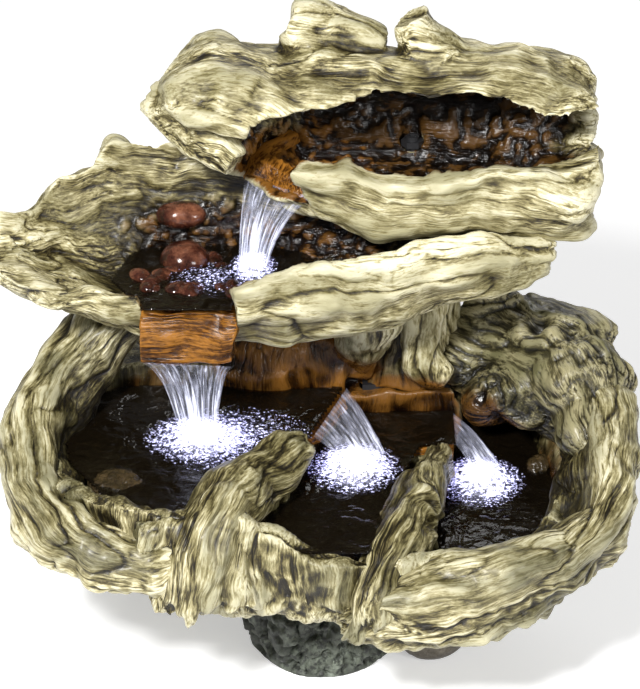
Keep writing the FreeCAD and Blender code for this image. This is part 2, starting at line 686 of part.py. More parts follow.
stump_r = float(size.back_stump_radius)
back_stump = log([(270, 5, top + 80, 0.50 * stump_r), (254, 50, top + 100, 0.82 * stump_r),
                  (222, 94, top + 116, stump_r), (182, 124, top + 112, 0.85 * stump_r)])
back_stump = back_stump.cut(basin_solid).cut(right_log)
back_stump = back_stump.cut(block(0, float(well_right) + float(size.screen_plate) + 1, 0, 300, 0, 400))
back_stump = largest(back_stump)

root_r = float(size.root_radius)
left_root = log([(-22, -52, float(left_crest) - 6, 0.55 * root_r),
                 (-46, -96, float(left_rim) - 6, 0.9 * root_r),
                 (-74, -146, float(left_rim) - 6, root_r), (-92, -182, float(left_rim) - 10, 1.1 * root_r),
                 (-104, -204, top + 66, 1.1 * root_r), (-108, -204, top + 28, 0.85 * root_r)])
left_branch = log([(-80, -168, float(left_rim) - 12, 0.85 * root_r),
                   (-124, -190, float(left_rim) - 18, 0.75 * root_r),
                   (-160, -196, float(left_rim) - 20, 0.5 * root_r)])
left_root = left_root.fuse(left_branch)
left_root = largest(left_root.cut(basin_solid).cut(left_lip).cut(left_prop))
right_root = log([(116, -6, float(centre_crest) - 4, 0.5 * root_r),
                  (98, -70, float(centre_rim) - 4, 0.9 * root_r),
                  (76, -144, float(centre_rim) - 4, root_r), (58, -196, float(centre_rim) - 24, root_r),
                  (46, -218, float(centre_rim) - 60, 0.7 * root_r)])
right_root = largest(right_root.cut(basin_solid).cut(centre_lip).cut(right_log))

# Rear trunk: hollow upright on the rear deck, with a box cut out for the door frame
trunk_r = float(size.trunk_radius)
trunk_x, trunk_y = float(size.well_x), float(size.well_y)
trunk_low = float(rear_deck)


def trunk_stations(thin):
    return [(trunk_x, trunk_y, trunk_low, 1.16 * trunk_r - thin),
            (trunk_x, trunk_y - 2, trunk_low + 50, trunk_r - thin),
            (trunk_x - 1, trunk_y - 12, trunk_low + 120, 0.96 * trunk_r - thin),
            (trunk_x - 2, trunk_y - 26, axis_z - 40, 1.04 * trunk_r - thin)]


trunk_outer = trunk_log(trunk_stations(0.0))
post_r = float(size.post_radius)
post_foot = trunk_low + 4
trunk_post = log([(trunk_x + 36, trunk_y - 66, post_foot + 0.7 * post_r, 0.65 * post_r),
                  (trunk_x + 16, trunk_y - 62, post_foot + 1.3 * post_r, 0.95 * post_r),
                  (trunk_x + 9, trunk_y - 60, trunk_low + 56, post_r),
                  (trunk_x + 8, trunk_y - 58, crest - 30, 1.1 * post_r)])
trunk_outer = trunk_outer.fuse(trunk_post.cut(block(-600, 600, -600, 600, 0, post_foot)))
trunk_bore = trunk_log(trunk_stations(float(size.trunk_wall)))
frame_box = block(float(frame_left), float(frame_left) + float(size.frame_width), float(frame_front),
                  float(size.frame_rear) + 60, trunk_low, trunk_low + float(size.frame_height))
trunk = largest(trunk_outer.cut(trunk_bore).cut(frame_box).cut(upper_outer).cut(middle_outer).cut(back_stump))

spur_r = float(size.spur_radius)
spur = log([(38, 84, float(back_deck), 0.42 * spur_r), (40, 74, float(back_deck) + 26, 0.66 * spur_r),
            (44, 46, crest - 56, spur_r), (46, 32, crest - 10, 1.1 * spur_r)])
spur = largest(spur.cut(basin_solid).cut(middle_outer).cut(trunk_outer).cut(left_lip))

# Dowels through the joints of the tiers
dowel_r = float(size.dowel_radius)
dowel_l = float(size.dowel_length)
ring_mid = 1.03 * trunk_r - 0.5 * float(size.trunk_wall)
dowel_spots = [(trunk_x - 2 - ring_mid, trunk_y - 26, axis_z - 98),
               (trunk_x - 2 + ring_mid, trunk_y - 26, axis_z - 98),
               (44, 44, crest - 74), (-182, 60, crest - 72)]
dowels = [Part.makeCylinder(dowel_r, dowel_l, Vector(*spot)) for spot in dowel_spots]
for pin in dowels:
    trunk, upper_solid, spur = trunk.cut(pin), upper_solid.cut(pin), spur.cut(pin)
    middle_solid, left_prop = middle_solid.cut(pin), left_prop.cut(pin)

# Stones
pebble = float(size.pebble_radius)
pebbles = [stone(Vector(-128, 40, bowl + 28), 1.12 * pebble, pebble, pebble),
           stone(Vector(-132, 74, bowl + 62), 1.1 * pebble, 0.7 * pebble, 0.62 * pebble),
           stone(Vector(-150, 8, bowl + 8), 0.5 * pebble, 0.45 * pebble, 0.45 * pebble)]
pebbles = [largest(shape.cut(middle_solid)) for shape in pebbles]
pebbles[1] = largest(pebbles[1].cut(pebbles[0]))
slab = float(size.pool_stone_radius)
stone_spots = [(-188, -112, 18, 1.0, 0.8, 0.62, left_floor), (164, -84, 8, 1.1, 0.62, 0.42, right_floor),
               (214, 24, 14, 0.5, 0.6, 0.8, right_floor)]
pool_stones = []
for x, y, rise, across, deep, high, floor in stone_spots:
    shape = stone(Vector(x, y, float(floor) + rise), across * slab, deep * slab, high * slab)
    shape = shape.cut(block(-600, 600, -600, 600, -100, float(floor)))
    pool_stones.append(largest(shape.cut(basin_solid).cut(left_prop).cut(back_stump).cut(right_log)))

casting("boulder_foot", foot_solid)
casting("side_stones", Part.makeCompound([largest(side_stone), largest(small_stone)]))
casting("lower_basin", basin_solid)
casting("left_prop_log", left_prop)
casting("right_rim_log", right_log)
casting("right_back_stump", back_stump)
casting("left_divider_root", left_root)
casting("right_divider_root", right_root)
casting("rear_trunk", trunk)
casting("spur_root", spur)
casting("middle_log", middle_solid)
casting("upper_log", upper_solid)
casting("upper_spill_lip", upper_lip)
casting("middle_spill_lip", middle_lip)
casting("left_pool_lip", left_lip)
casting("centre_pool_lip", centre_lip)
casting("tier_dowels", Part.makeCompound(dowels))
casting("bowl_pebbles", Part.makeCompound(pebbles))
casting("pool_stones", Part.makeCompound(pool_stones))

# Pump well with a window to the right pool and a drain hole in its back

well_outer = brick("well_block", well_left, well_front, well_base, size.well_length, size.well_width,
                   size.well_depth)
well_inner = brick("well_hollow", well_left + size.well_wall, well_front + size.well_wall,
                   well_base + size.well_floor,
                   size.well_length - 2 * size.well_wall, size.well_width - 2 * size.well_wall,
                   size.well_depth)
window_y = well_front + 7
window_z = right_floor + 1
window = brick("well_window", well_right - 2 * size.well_wall, window_y, window_z, 4 * size.well_wall,
               size.window_width, size.window_height)
drain = rod("well_drain", size.well_x, well_back - 2 * size.well_wall, plug_z,
            size.plug_radius + size.plug_play,
            4 * size.well_wall, "y")
node(less("pump_well", well_outer, [well_inner, window, drain]), "pump_well")

# Sump screen: a slotted plate over the window
screen = extruded("sump_screen", "YZ_Plane",
                  [(-size.screen_margin, 0), (size.window_width + size.screen_margin, 0),
                   (size.window_width + size.screen_margin, size.window_height + size.screen_margin),
                   (-size.screen_margin, size.window_height + size.screen_margin)], size.screen_plate)
slot = outline(screen, "YZ_Plane", [(1, 2), (size.slot_width + 1, 2),
                                    (size.slot_width + 1, size.window_height - 2),
                                    (1, size.window_height - 2)], "screen_slot_outline")
slots = screen.newObject("PartDesign::Pocket", "screen_slot")
slots.Profile = slot
slots.Midplane = True
bind(slots, Length=4 * size.screen_plate)
row_of_slots = screen.newObject("PartDesign::LinearPattern", "screen_slots")
row_of_slots.Originals = [slots]
row_of_slots.Direction = (slot, ["H_Axis"])
row_of_slots.Occurrences = 4
bind(row_of_slots, Length=3 * size.slot_pitch)
screen.Tip = row_of_slots
place(screen, well_right, window_y, right_floor)
node(screen, "sump_screen")

# Rear door: frame, door, hinge, magnet and knob

frame_block = brick("frame_block", frame_left, frame_front, frame_base, size.frame_width, size.frame_depth,
                    size.frame_height)
open_left = frame_left + size.frame_wall
open_base = frame_base + size.frame_rail
open_width = size.frame_width - 2 * size.frame_wall
open_height = size.frame_height - size.frame_rail - size.frame_wall
passage = brick("frame_passage", open_left, frame_front - 10, open_base, open_width, size.frame_depth + 20,
                open_height)
ledge_y = size.frame_rear - size.door_plate - size.door_gap
recess_left = open_left - size.rebate
recess_base = open_base - size.rebate
recess_width = open_width + 2 * size.rebate
recess_height = open_height + 2 * size.rebate
recess = brick("frame_recess", recess_left, ledge_y, recess_base, recess_width, 40, recess_height)
gland_z = frame_base + (size.frame_rail - size.rebate) / 2
gland_space = brick("gland_pocket_cut", size.well_x - size.gland_pocket / 2, frame_front - 10,
                    frame_base - 10, size.gland_pocket, size.frame_depth - size.gland_plate + 10,
                    size.frame_rail + 5)
gland_hole = rod("gland_hole", size.well_x, frame_front, gland_z, size.grommet_neck, size.frame_depth + 20,
                 "y")
magnet_x = open_left + open_width + size.rebate / 2
magnet_z = open_base + open_height / 2
catch_y = ledge_y - size.magnet_plate
catch_hole = rod("catch_hole", magnet_x, catch_y, magnet_z, size.magnet_radius, size.magnet_plate, "y")
node(less("door_frame", frame_block, [passage, recess, gland_space, gland_hole, catch_hole]), "door_frame")
node(rod("catch_plate", magnet_x, catch_y, magnet_z, size.magnet_radius, size.magnet_plate, "y"),
     "catch_plate")

door_y = size.frame_rear - size.door_plate
door_panel = brick("door_panel", recess_left + size.door_gap, door_y, recess_base + size.door_gap,
                   recess_width - 2 * size.door_gap, size.door_plate, recess_height - 2 * size.door_gap)
magnet_hole = rod("magnet_hole", magnet_x, door_y, magnet_z, size.magnet_radius, size.magnet_plate, "y")
node(less("access_door", door_panel, [magnet_hole]), "access_door")
node(rod("door_magnet", magnet_x, door_y, magnet_z, size.magnet_radius, size.magnet_plate, "y"),
     "door_magnet")
knob = turned("door_knob", [(0, 0), (0.6 * size.knob_radius, 0),
                            (0.5 * size.knob_radius, 0.4 * size.knob_length),
                            (size.knob_radius, 0.6 * size.knob_length),
                            (size.knob_radius, 0.9 * size.knob_length),
                            (0.8 * size.knob_radius, size.knob_length), (0, size.knob_length)])
node(place(knob, magnet_x - size.rebate, size.frame_rear, magnet_z, TURN["y"]), "door_knob")

hinge_x = recess_left
hinge_y = size.frame_rear + size.knuckle_radius + size.knuckle_lift
hinge_step = size.knuckle_length + size.knuckle_gap
hinge_base = magnet_z - 1.5 * size.knuckle_length - size.knuckle_gap


def knuckle(label, step, leaf_x, leaf_width, bore):
    """Hinge barrel with a leaf block that reaches back to the face behind it."""
    low = hinge_base + step * hinge_step
    barrel = rod(label + "_barrel", hinge_x, hinge_y, low, size.knuckle_radius, size.knuckle_length)
    leaf = brick(label + "_leaf", leaf_x, size.frame_rear, low, leaf_width,
                 size.knuckle_radius + size.knuckle_lift, size.knuckle_length)
    hole = rod(label + "_bore", hinge_x, hinge_y, low - 1, bore, size.knuckle_length + 2)
    return less(label, joined(label + "_blank", [barrel, leaf]), [hole])


border = size.frame_wall - size.rebate
node(grouped("frame_knuckles", [knuckle("low_knuckle", 0, frame_left, border, size.pin_radius),
                                knuckle("high_knuckle", 2, frame_left, border, size.pin_radius)]),
                                "frame_knuckles")
node(knuckle("door_knuckle", 1, hinge_x, 9, size.pin_radius + size.pin_play), "door_knuckle")
node(rod("hinge_pin", hinge_x, hinge_y, hinge_base - 1, size.pin_radius, 3 * size.knuckle_length + 4),
     "hinge_pin")

grommet = turned("cable_grommet", [
    (size.grommet_bore, -size.flange_plate), (size.grommet_flange, -size.flange_plate),
    (size.grommet_flange, 0),
    (size.grommet_neck, 0), (size.grommet_neck, size.gland_plate), (size.grommet_flange, size.gland_plate),
    (size.grommet_flange, size.gland_plate + size.flange_plate),
    (size.grommet_bore, size.gland_plate + size.flange_plate)])
node(place(grommet, size.well_x, size.frame_rear - size.gland_plate, gland_z, TURN["y"]), "cable_grommet")

plug = turned("drain_plug", [
    (0, -size.plug_length), (size.plug_radius - 1, -size.plug_length),
    (size.plug_radius, 1 - size.plug_length),
    (size.plug_radius, size.plug_gap), (size.plug_flange, size.plug_gap),
    (size.plug_flange, size.plug_gap + size.plug_flange_plate),
    (0.5 * size.plug_flange, size.plug_gap + size.plug_flange_plate),
    (0.4 * size.plug_flange, size.plug_flange_plate + size.plug_tab),
    (0, size.plug_flange_plate + size.plug_tab)])
node(place(plug, size.well_x, well_back, plug_z, TURN["y"]), "drain_plug")

# Pump: its shaft lies along Y, the intake faces the front

motor = brick("motor_block", size.well_x - size.pump_width / 2, size.pump_y, pump_base, size.pump_width,
              size.pump_length, size.pump_height)
rotor_room = size.rotor_length + 2 * size.rotor_end_gap
rotor_bore = rod("rotor_bore", size.well_x, size.pump_y, pump_axis, size.rotor_radius + size.rotor_gap,
                 rotor_room, "y")
shaft_seat = rod("shaft_seat_cut", size.well_x, size.pump_y, pump_axis, size.shaft_radius,
                 rotor_room + size.shaft_seat, "y")
node(less("pump_body", motor, [rotor_bore, shaft_seat]), "pump_body")

volute_y = size.pump_y - size.volute_length
seat_rise = size.volute_radius - 1.5
volute_disc = rod("volute_disc", size.well_x, volute_y, pump_axis, size.volute_radius, size.volute_length,
                  "y")
chamber = rod("volute_chamber", size.well_x, volute_y, pump_axis, size.volute_bore, size.volute_length, "y")
outlet_way = rod("outlet_way", hose_x, hose_y, pump_axis, size.outlet_bore, 2 * size.volute_radius)
outlet_seat = brick("outlet_seat", size.well_x - size.volute_radius, volute_y, pump_axis + seat_rise,
                    2 * size.volute_radius, size.volute_length, size.volute_radius)
node(less("pump_volute", volute_disc, [chamber, outlet_way, outlet_seat]), "pump_volute")

cover_y = volute_y - size.cover_plate
cover_disc = rod("cover_disc", size.well_x, cover_y, pump_axis, size.volute_radius, size.cover_plate, "y")
cover_boss = rod("cover_boss", size.well_x, cover_y - size.boss_length, pump_axis, size.dial_boss,
                 size.boss_length + 1, "y")
cover_seat = rod("cover_seat", size.well_x, volute_y - size.shaft_seat, pump_axis, size.shaft_radius,
                 size.shaft_seat + 1, "y")


def intakes(label, y, length):
    """Four round holes on the intake circle."""
    return [rod("%s_%d" % (label, i), size.well_x + size.intake_pitch * across, y,
                pump_axis + size.intake_pitch * up,
                size.intake_radius, length, "y")
            for i, (across, up) in enumerate(((1, 0), (0, 1), (-1, 0), (0, -1)))]


node(less("pump_cover", joined("cover_blank", [cover_disc, cover_boss]),
          [cover_seat] + intakes("cover_intake", cover_y - 1, size.cover_plate + 2)), "pump_cover")

dial_y = cover_y - size.dial_gap - size.dial_plate
dial_disc = rod("dial_disc", size.well_x, dial_y, pump_axis, size.dial_radius, size.dial_plate, "y")
dial_lever = brick("dial_lever_block", size.well_x - 2, dial_y, pump_axis + size.dial_radius - 1, 4,
                   size.dial_plate,
                   size.dial_lever + 1)
dial_bore = rod("dial_bore", size.well_x, dial_y - 1, pump_axis, size.dial_boss + size.dial_play,
                size.dial_plate + 2, "y")
node(less("flow_dial", joined("dial_blank", [dial_disc, dial_lever]),
          [dial_bore] + intakes("dial_intake", dial_y - 1, size.dial_plate + 2)), "flow_dial")
node(rod("dial_cap", size.well_x, cover_y - size.boss_length - 2, pump_axis, 1.7 * size.dial_boss, 2, "y"),
     "dial_cap")

rotor_y = size.pump_y + size.rotor_end_gap
hub_y = volute_y + 3
rotor = rod("rotor_magnet", size.well_x, rotor_y, pump_axis, size.rotor_radius, size.rotor_length, "y")
hub = rod("impeller_hub", size.well_x, hub_y, pump_axis, size.hub_radius, rotor_y - hub_y + 1, "y")
blades = [brick("blade_across", size.well_x - size.blade_radius, hub_y, pump_axis - size.blade_plate / 2,
                2 * size.blade_radius, size.blade_length, size.blade_plate),
          brick("blade_up", size.well_x - size.blade_plate / 2, hub_y, pump_axis - size.blade_radius,
                size.blade_plate, size.blade_length, 2 * size.blade_radius)]
shaft_way = rod("shaft_way", size.well_x, hub_y - 1, pump_axis, size.shaft_radius + size.shaft_play,
                size.rotor_length + 40, "y")
node(less("pump_impeller", joined("impeller_blank", [rotor, hub] + blades), [shaft_way]), "pump_impeller")
node(rod("pump_shaft", size.well_x, volute_y - size.shaft_seat, pump_axis, size.shaft_radius,
         size.shaft_seat + size.volute_length + rotor_room + size.shaft_seat, "y"), "pump_shaft")

feet = []
for i, (across, deep) in enumerate(((-1, 0.2), (1, 0.2), (-1, 0.8), (1, 0.8))):
    foot = doc.addObject("Part::Cone", "suction_foot_%d" % i)
    bind(foot, Radius1=size.pump_foot_radius, Radius2=0.6 * size.pump_foot_radius, Height=size.pump_foot)
    feet.append(place(foot, size.well_x + across * size.pump_width * 0.34,
                      size.pump_y + deep * size.pump_length,
                      well_base + size.well_floor))
node(grouped("pump_feet", feet), "pump_feet")

outlet_base = pump_axis + seat_rise
outlet = turned("pump_outlet", [
    (size.outlet_bore, 0), (size.outlet_radius + 2, 0), (size.outlet_radius + 2, 3),
    (size.outlet_radius, 3),
    (size.outlet_radius, size.outlet_length), (size.outlet_bore, size.outlet_length)])
node(place(outlet, hose_x, hose_y, outlet_base), "pump_outlet")

spigot_z = upper_axis - 70
hose_low = outlet_base + size.outlet_length - size.hose_grip
hose_high = spigot_z - size.spigot_plate - 2
hose_wall_radius = size.outlet_radius + size.hose_wall
hose = turned("riser_hose", [(size.outlet_radius, hose_low), (hose_wall_radius, hose_low),
                             (hose_wall_radius, hose_high), (size.outlet_radius, hose_high)])
node(place(hose, hose_x, hose_y, 0), "riser_hose")
clips = []
for label, clip_z in (("low_clip", hose_low + 5), ("high_clip", hose_high - 5 - size.clip_height)):
    band = turned(label, [(hose_wall_radius, 0), (hose_wall_radius + size.clip_wall, 0),
                          (hose_wall_radius + size.clip_wall, size.clip_height),
                          (hose_wall_radius, size.clip_height)])
    clips.append(place(band, hose_x, hose_y, clip_z))
node(grouped("hose_clips", clips), "hose_clips")

nut_rise = upper_axis - 26 - spigot_z
spigot = turned("inlet_spigot", [
    (size.outlet_bore, -size.spigot_plate - 2 - size.hose_grip),
    (size.outlet_radius, -size.spigot_plate - 2 - size.hose_grip),
    (size.outlet_radius, -size.spigot_plate), (size.spigot_flange, -size.spigot_plate),
    (size.spigot_flange, 0),
    (size.spigot_shank, 0), (size.spigot_shank, nut_rise + size.nut_height + 4),
    (size.outlet_bore, nut_rise + size.nut_height + 4)])
node(place(spigot, hose_x, hose_y, spigot_z), "inlet_spigot")
hexagon = doc.addObject("Part::Prism", "nut_blank")
hexagon.Polygon = 6
bind(hexagon, Circumradius=size.nut_radius, Height=size.nut_height)
place(hexagon, hose_x, hose_y, spigot_z + nut_rise)
nut_bore = rod("nut_bore", hose_x, hose_y, spigot_z + nut_rise - 1, size.spigot_shank, size.nut_height + 2)
node(less("inlet_nut", hexagon, [nut_bore]), "inlet_nut")

# Four underwater lights

seal_base = size.light_height - size.lens_plate - size.seal_height
lens_radius = size.lens_seat - size.light_play
board_radius = size.light_bore - size.light_play
light_kinds = [
    ("light_housings", 0, [
        (0, 0), (size.light_radius, 0), (size.light_radius, size.light_height),
        (size.lens_seat, size.light_height),
        (size.lens_seat, seal_base), (size.light_bore, seal_base), (size.light_bore, size.light_floor),
        (0, size.light_floor)]),
    ("light_boards", size.light_floor, [
        (0, 0), (board_radius, 0), (board_radius, size.board_plate), (size.chip_radius, size.board_plate),
        (size.chip_radius, size.board_plate + size.chip_height), (0, size.board_plate + size.chip_height)]),
    ("light_seals", seal_base, [
        (size.light_bore, 0), (size.lens_seat, 0), (size.lens_seat, size.seal_height),
        (size.light_bore, size.seal_height)]),
    ("light_lenses", seal_base + size.seal_height, [
        (0, 0), (lens_radius, 0), (lens_radius, 0.8 * size.lens_plate),
        (0.7 * lens_radius, 1.2 * size.lens_plate),
        (0, 1.35 * size.lens_plate)]),
]
for label, rise, corners in light_kinds:
    copies = [place(turned("%s_%d" % (label, i), corners), x, y, floor + rise)
              for i, (x, y, floor) in enumerate(light_spots)]
    node(grouped(label, copies), label)

# Export

doc.recompute()
for thing in doc.Objects:
    if "Invalid" in thing.State or "Error" in thing.State:
        raise RuntimeError("%s did not compute: %s" % (thing.Label, thing.State))
for part in nodes:
    if part.Shape.isNull() or not part.Shape.isValid() or not part.Shape.Solids:
        raise RuntimeError("%s has no sound solid" % part.Label)
    part.Shape.exportStep("parts/%s.step" % part.Label)
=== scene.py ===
import itertools
import json
import math
import bpy
import numpy as np
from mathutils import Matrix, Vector


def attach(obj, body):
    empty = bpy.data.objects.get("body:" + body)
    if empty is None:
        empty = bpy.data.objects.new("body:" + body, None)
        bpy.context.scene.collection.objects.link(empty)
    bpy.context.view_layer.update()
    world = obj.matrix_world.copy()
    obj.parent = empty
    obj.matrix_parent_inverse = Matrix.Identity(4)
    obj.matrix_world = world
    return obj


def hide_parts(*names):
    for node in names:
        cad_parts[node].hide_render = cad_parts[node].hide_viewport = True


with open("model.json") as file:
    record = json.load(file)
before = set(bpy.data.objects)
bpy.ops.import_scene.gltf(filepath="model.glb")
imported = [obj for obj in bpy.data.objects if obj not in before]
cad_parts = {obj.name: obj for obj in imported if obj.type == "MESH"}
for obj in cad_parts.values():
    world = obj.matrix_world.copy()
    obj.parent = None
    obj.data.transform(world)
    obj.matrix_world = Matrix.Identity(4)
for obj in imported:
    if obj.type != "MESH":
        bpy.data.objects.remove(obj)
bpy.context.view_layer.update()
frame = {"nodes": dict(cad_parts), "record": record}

scene = bpy.context.scene
nodes = frame["nodes"]
mm = 0.001
print("frame loaded:", len(nodes), "nodes")


# tools: picking, edit mode, modifiers

def pickOnly(piece):
    if bpy.context.mode != "OBJECT":
        bpy.ops.object.mode_set(mode="OBJECT")
    bpy.ops.object.select_all(action="DESELECT")
    piece.select_set(True)
    bpy.context.view_layer.objects.active = piece


def applyModifier(piece, kind, **values):
    pickOnly(piece)
    modifier = piece.modifiers.new(kind.lower(), kind)
    for key, value in values.items():
        setattr(modifier, key, value)
    bpy.ops.object.modifier_apply(modifier=modifier.name)


def applyPlace(piece):
    pickOnly(piece)
    bpy.ops.object.transform_apply(location=True, rotation=True, scale=True)


def addShape(operator, name, **values):
    bpy.ops.object.select_all(action="DESELECT")
    operator(**values)
    piece = bpy.context.active_object
    piece.name = name
    return piece


def joinInto(piece, others):
    pickOnly(piece)
    for other in others:
        other.select_set(True)
    bpy.ops.object.join()


# a casting's piece has its node's name, in another spelling
def nodeOf(name):
    return "".join("_" + letter.lower() if letter.isupper() else letter for letter in name)


def copyCasting(name):
    piece = bpy.data.objects.new(name, nodes[nodeOf(name)].data.copy())
    scene.collection.objects.link(piece)
    piece.data.materials.clear()
    pickOnly(piece)
    bpy.ops.object.mode_set(mode="EDIT")
    bpy.ops.mesh.select_all(action="SELECT")
    bpy.ops.mesh.remove_doubles(threshold=1e-5)
    bpy.ops.object.mode_set(mode="OBJECT")
    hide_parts(nodeOf(name))
    return piece


def readRows(items, key):
    rows = np.empty(len(items) * 3)
    items.foreach_get(key, rows)
    return rows.reshape(-1, 3)


def readPoints(piece):
    return readRows(piece.data.vertices, "co")


def readNormals(piece):
    return readRows(piece.data.vertex_normals, "vector")


def writePoints(piece, co):
    piece.data.vertices.foreach_set("co", co.ravel())
    piece.data.update()


def storeField(piece, name, values):
    kind = "FLOAT" if values.ndim == 1 else "FLOAT_VECTOR"
    field = piece.data.attributes.new(name, kind, "POINT")
    field.data.foreach_set("value" if values.ndim == 1 else "vector", values.astype(np.float32).ravel())


def settle(piece, material):
    pickOnly(piece)
    bpy.ops.object.shade_smooth()
    piece.data.materials.append(material)
    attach(piece, "fountain")
    print("made", piece.name, len(piece.data.polygons), "faces")


def dots(first, second):
    return np.einsum("ij,ij->i", first, second)


# soft noise that gives the same shape each run

noiseOrder = np.random.RandomState(7).permutation(256)
noiseLean = np.random.RandomState(8).normal(size=(256, 3))
noiseLean /= np.linalg.norm(noiseLean, axis=1)[:, None]


def softNoise(points, seed=0):
    cell = np.floor(points).astype(np.int64)
    part = points - cell
    fade = part ** 3 * (part * (part * 6 - 15) + 10)
    total = np.zeros(len(points))
    for corner in itertools.product((0, 1), repeat=3):
        spot = cell + np.array(corner)
        pick = noiseOrder[(spot[:, 0] + 31 * seed) & 255]
        pick = noiseOrder[(pick + spot[:, 1]) & 255]
        pick = noiseOrder[(pick + spot[:, 2]) & 255]
        weight = np.prod(np.where(np.array(corner) == 1, fade, 1 - fade), axis=1)
        total += weight * dots(noiseLean[pick], part - np.array(corner))
    return 1.6 * total


def layered(points, layers, seed=0):
    return sum(height * softNoise(points / size, seed + start) for height, size, start in layers)


def wander(points, amount, seed):
    shift = np.stack([softNoise(0.7 * points + 9.7 * k, seed + k) for k in range(3)], axis=1)
    return points + amount * shift


def ease(values, low, high):
    share = np.clip((values - low) / (high - low), 0, 1)
    return share * share * (3 - 2 * share)


# grain follows the middle line of each log

def smoothLine(stations, steps=24):
    p = np.array(stations, float) * mm
    p = np.vstack([2 * p[0] - p[1], p, 2 * p[-1] - p[-2]])
    line = []
    for k in range(1, len(p) - 2):
        for t in np.linspace(0, 1, steps, endpoint=False):
            line.append(0.5 * (2 * p[k] + (p[k + 1] - p[k - 1]) * t
                               + (2 * p[k - 1] - 5 * p[k] + 4 * p[k + 1] - p[k + 2]) * t * t
                               + (3 * p[k] - p[k - 1] - 3 * p[k + 1] + p[k + 2]) * t ** 3))
    line.append(p[-2])
    return np.array(line)


def tangentsOf(line):
    tangent = np.gradient(line, axis=0)
    return tangent / np.linalg.norm(tangent, axis=1)[:, None]


def grainAlong(co, line, batch=20000):
    tangent = tangentsOf(line)
    side = [np.cross(tangent[0], (0.1, 0.2, 1.0))]
    for step in tangent[1:]:
        lean = side[-1] - step * side[-1].dot(step)
        side.append(lean / np.linalg.norm(lean))
    side[0] /= np.linalg.norm(side[0])
    side = np.array(side)
    length = np.concatenate([[0], np.cumsum(np.linalg.norm(np.diff(line, axis=0), axis=1))])
    nearest = np.empty(len(co), int)
    for start in range(0, len(co), batch):
        part = co[start:start + batch]
        nearest[start:start + batch] = ((part[:, None] - line[None]) ** 2).sum(2).argmin(1)
    off = co - line[nearest]
    along = length[nearest] + dots(off, tangent[nearest])
    across = dots(off, side[nearest])
    above = dots(off, np.cross(tangent[nearest], side[nearest]))
    out = off / np.maximum(np.linalg.norm(off, axis=1), 1e-6)[:, None]
    return np.stack([along, across, above], axis=1), out, length[-1]


creaseLook = {"tone": 0.47, "rare": 0.1, "patch": 0.4, "often": (-0.05, 0.25), "top": 0.6, "level": 0.22,
              "span": 0.3, "pale": 0.25}


def grainRelief(grain, look):
    height, tone = np.zeros(len(grain)), np.full(len(grain), creaseLook["tone"])
    rare = creaseLook["rare"]
    for k, (length, width, bend, swell, groove, line, dark) in enumerate(look["layers"]):
        seed = look["seed"] + 10 * k
        stretch = np.array([1 / length, 1 / width, 1 / width]) / mm
        ridge = np.abs(softNoise(wander(grain * stretch, bend, seed), seed + 3))
        patch = softNoise(grain * stretch * creaseLook["patch"] + 5.3, seed + 5)
        crease = np.exp(-ridge / line) * (rare + (1 - rare) * ease(patch, *creaseLook["often"]))
        crown = np.minimum(ridge, creaseLook["top"])
        height += swell * (crown - creaseLook["level"]) / creaseLook["span"] - groove * crease
        tone += dark * (creaseLook["pale"] * crown - crease)
    return height, tone


def hollowness(piece, rounds):
    pairs = np.empty(len(piece.data.edges) * 2, int)
    piece.data.edges.foreach_get("vertices", pairs)
    first, second = pairs[0::2], pairs[1::2]
    count = np.bincount(pairs, minlength=len(piece.data.vertices))[:, None]
    co = readPoints(piece)
    soft = co.copy()
    for _ in range(rounds):
        total = [np.bincount(first, soft[second, k], len(co)) + np.bincount(second, soft[first, k], len(co))
                 for k in range(3)]
        soft = np.stack(total, axis=1) / np.maximum(count, 1)
    return dots(soft - co, readNormals(piece)) / mm


# the wood stays plain round the pump door (ranges along y and x, m)
warpRoom = {"back": (0.075, 0.115), "left": (0.0, 0.03), "right": (0.19, 0.16)}
grainRoom = {"back": (0.1, 0.13), "left": (0.01, 0.03), "right": (0.17, 0.15)}


def nearWorks(co, room):
    return ease(co[:, 1], *room["back"]) * ease(co[:, 0], *room["left"]) * ease(co[:, 0], *room["right"])


# one warp bends all the wood castings alike, so that they still meet (height mm, size m, seed)
warpWaves = [(8.5, 0.085, 200), (5, 0.038, 210), (1.8, 0.017, 220)]
soleHeight = 0.03  # the warp fades out towards the ground


def warpAll(co):
    shift = np.stack([layered(co, warpWaves, k) for k in range(3)], axis=1)
    sole = ease(co[:, 2], 0.0, soleHeight)
    return co + shift * mm * ((1 - nearWorks(co, warpRoom)) * sole)[:, None]


# where the wood is wet: the hollows that hold or carry water (centre and half sizes, mm; share of amber)
wetZones = [
    ((-14, 40, 470), (80, 70, 50), 0.8),
    ((-100, 28, 372), (80, 78, 58), 0.3),
    ((-122, -40, 350), (56, 50, 44), 0.9),
    ((0, 30, 396), (92, 52, 30), 0.35),
    ((-130, -20, 214), (98, 128, 50), 0.1),
    ((-20, 80, 240), (96, 66, 52), 0.85),
    ((28, -60, 176), (62, 128, 42), 0.2),
    ((78, 52, 205), (72, 56, 40), 0.6),
    ((165, -12, 160), (74, 100, 50), 0.35),
    ((165, 60, 190), (40, 50, 40), 0.2),
]
wetEdge = [(0.16, 0.022, 60), (0.1, 0.008, 61)]  # how the water line wanders: share, size (m), seed
wetRange, dampRange = (0.78, 1.12), (0.95, 1.7)  # from full to none, where 1 is the zone's edge


def wetness(co):
    rough = layered(co, wetEdge)
    wet, amber, damp = np.zeros((3, len(co)))
    for centre, halves, share in wetZones:
        away = np.linalg.norm((co / mm - centre) / np.array(halves), axis=1) + rough
        soaked = 1 - ease(away, *wetRange)
        amber = np.where(soaked > wet, share, amber)
        wet = np.maximum(wet, soaked)
        damp = np.maximum(damp, 1 - ease(away, *dampRange))
    return wet, amber, damp


# extra limbs and lumps are melted into a casting before it gets its grain

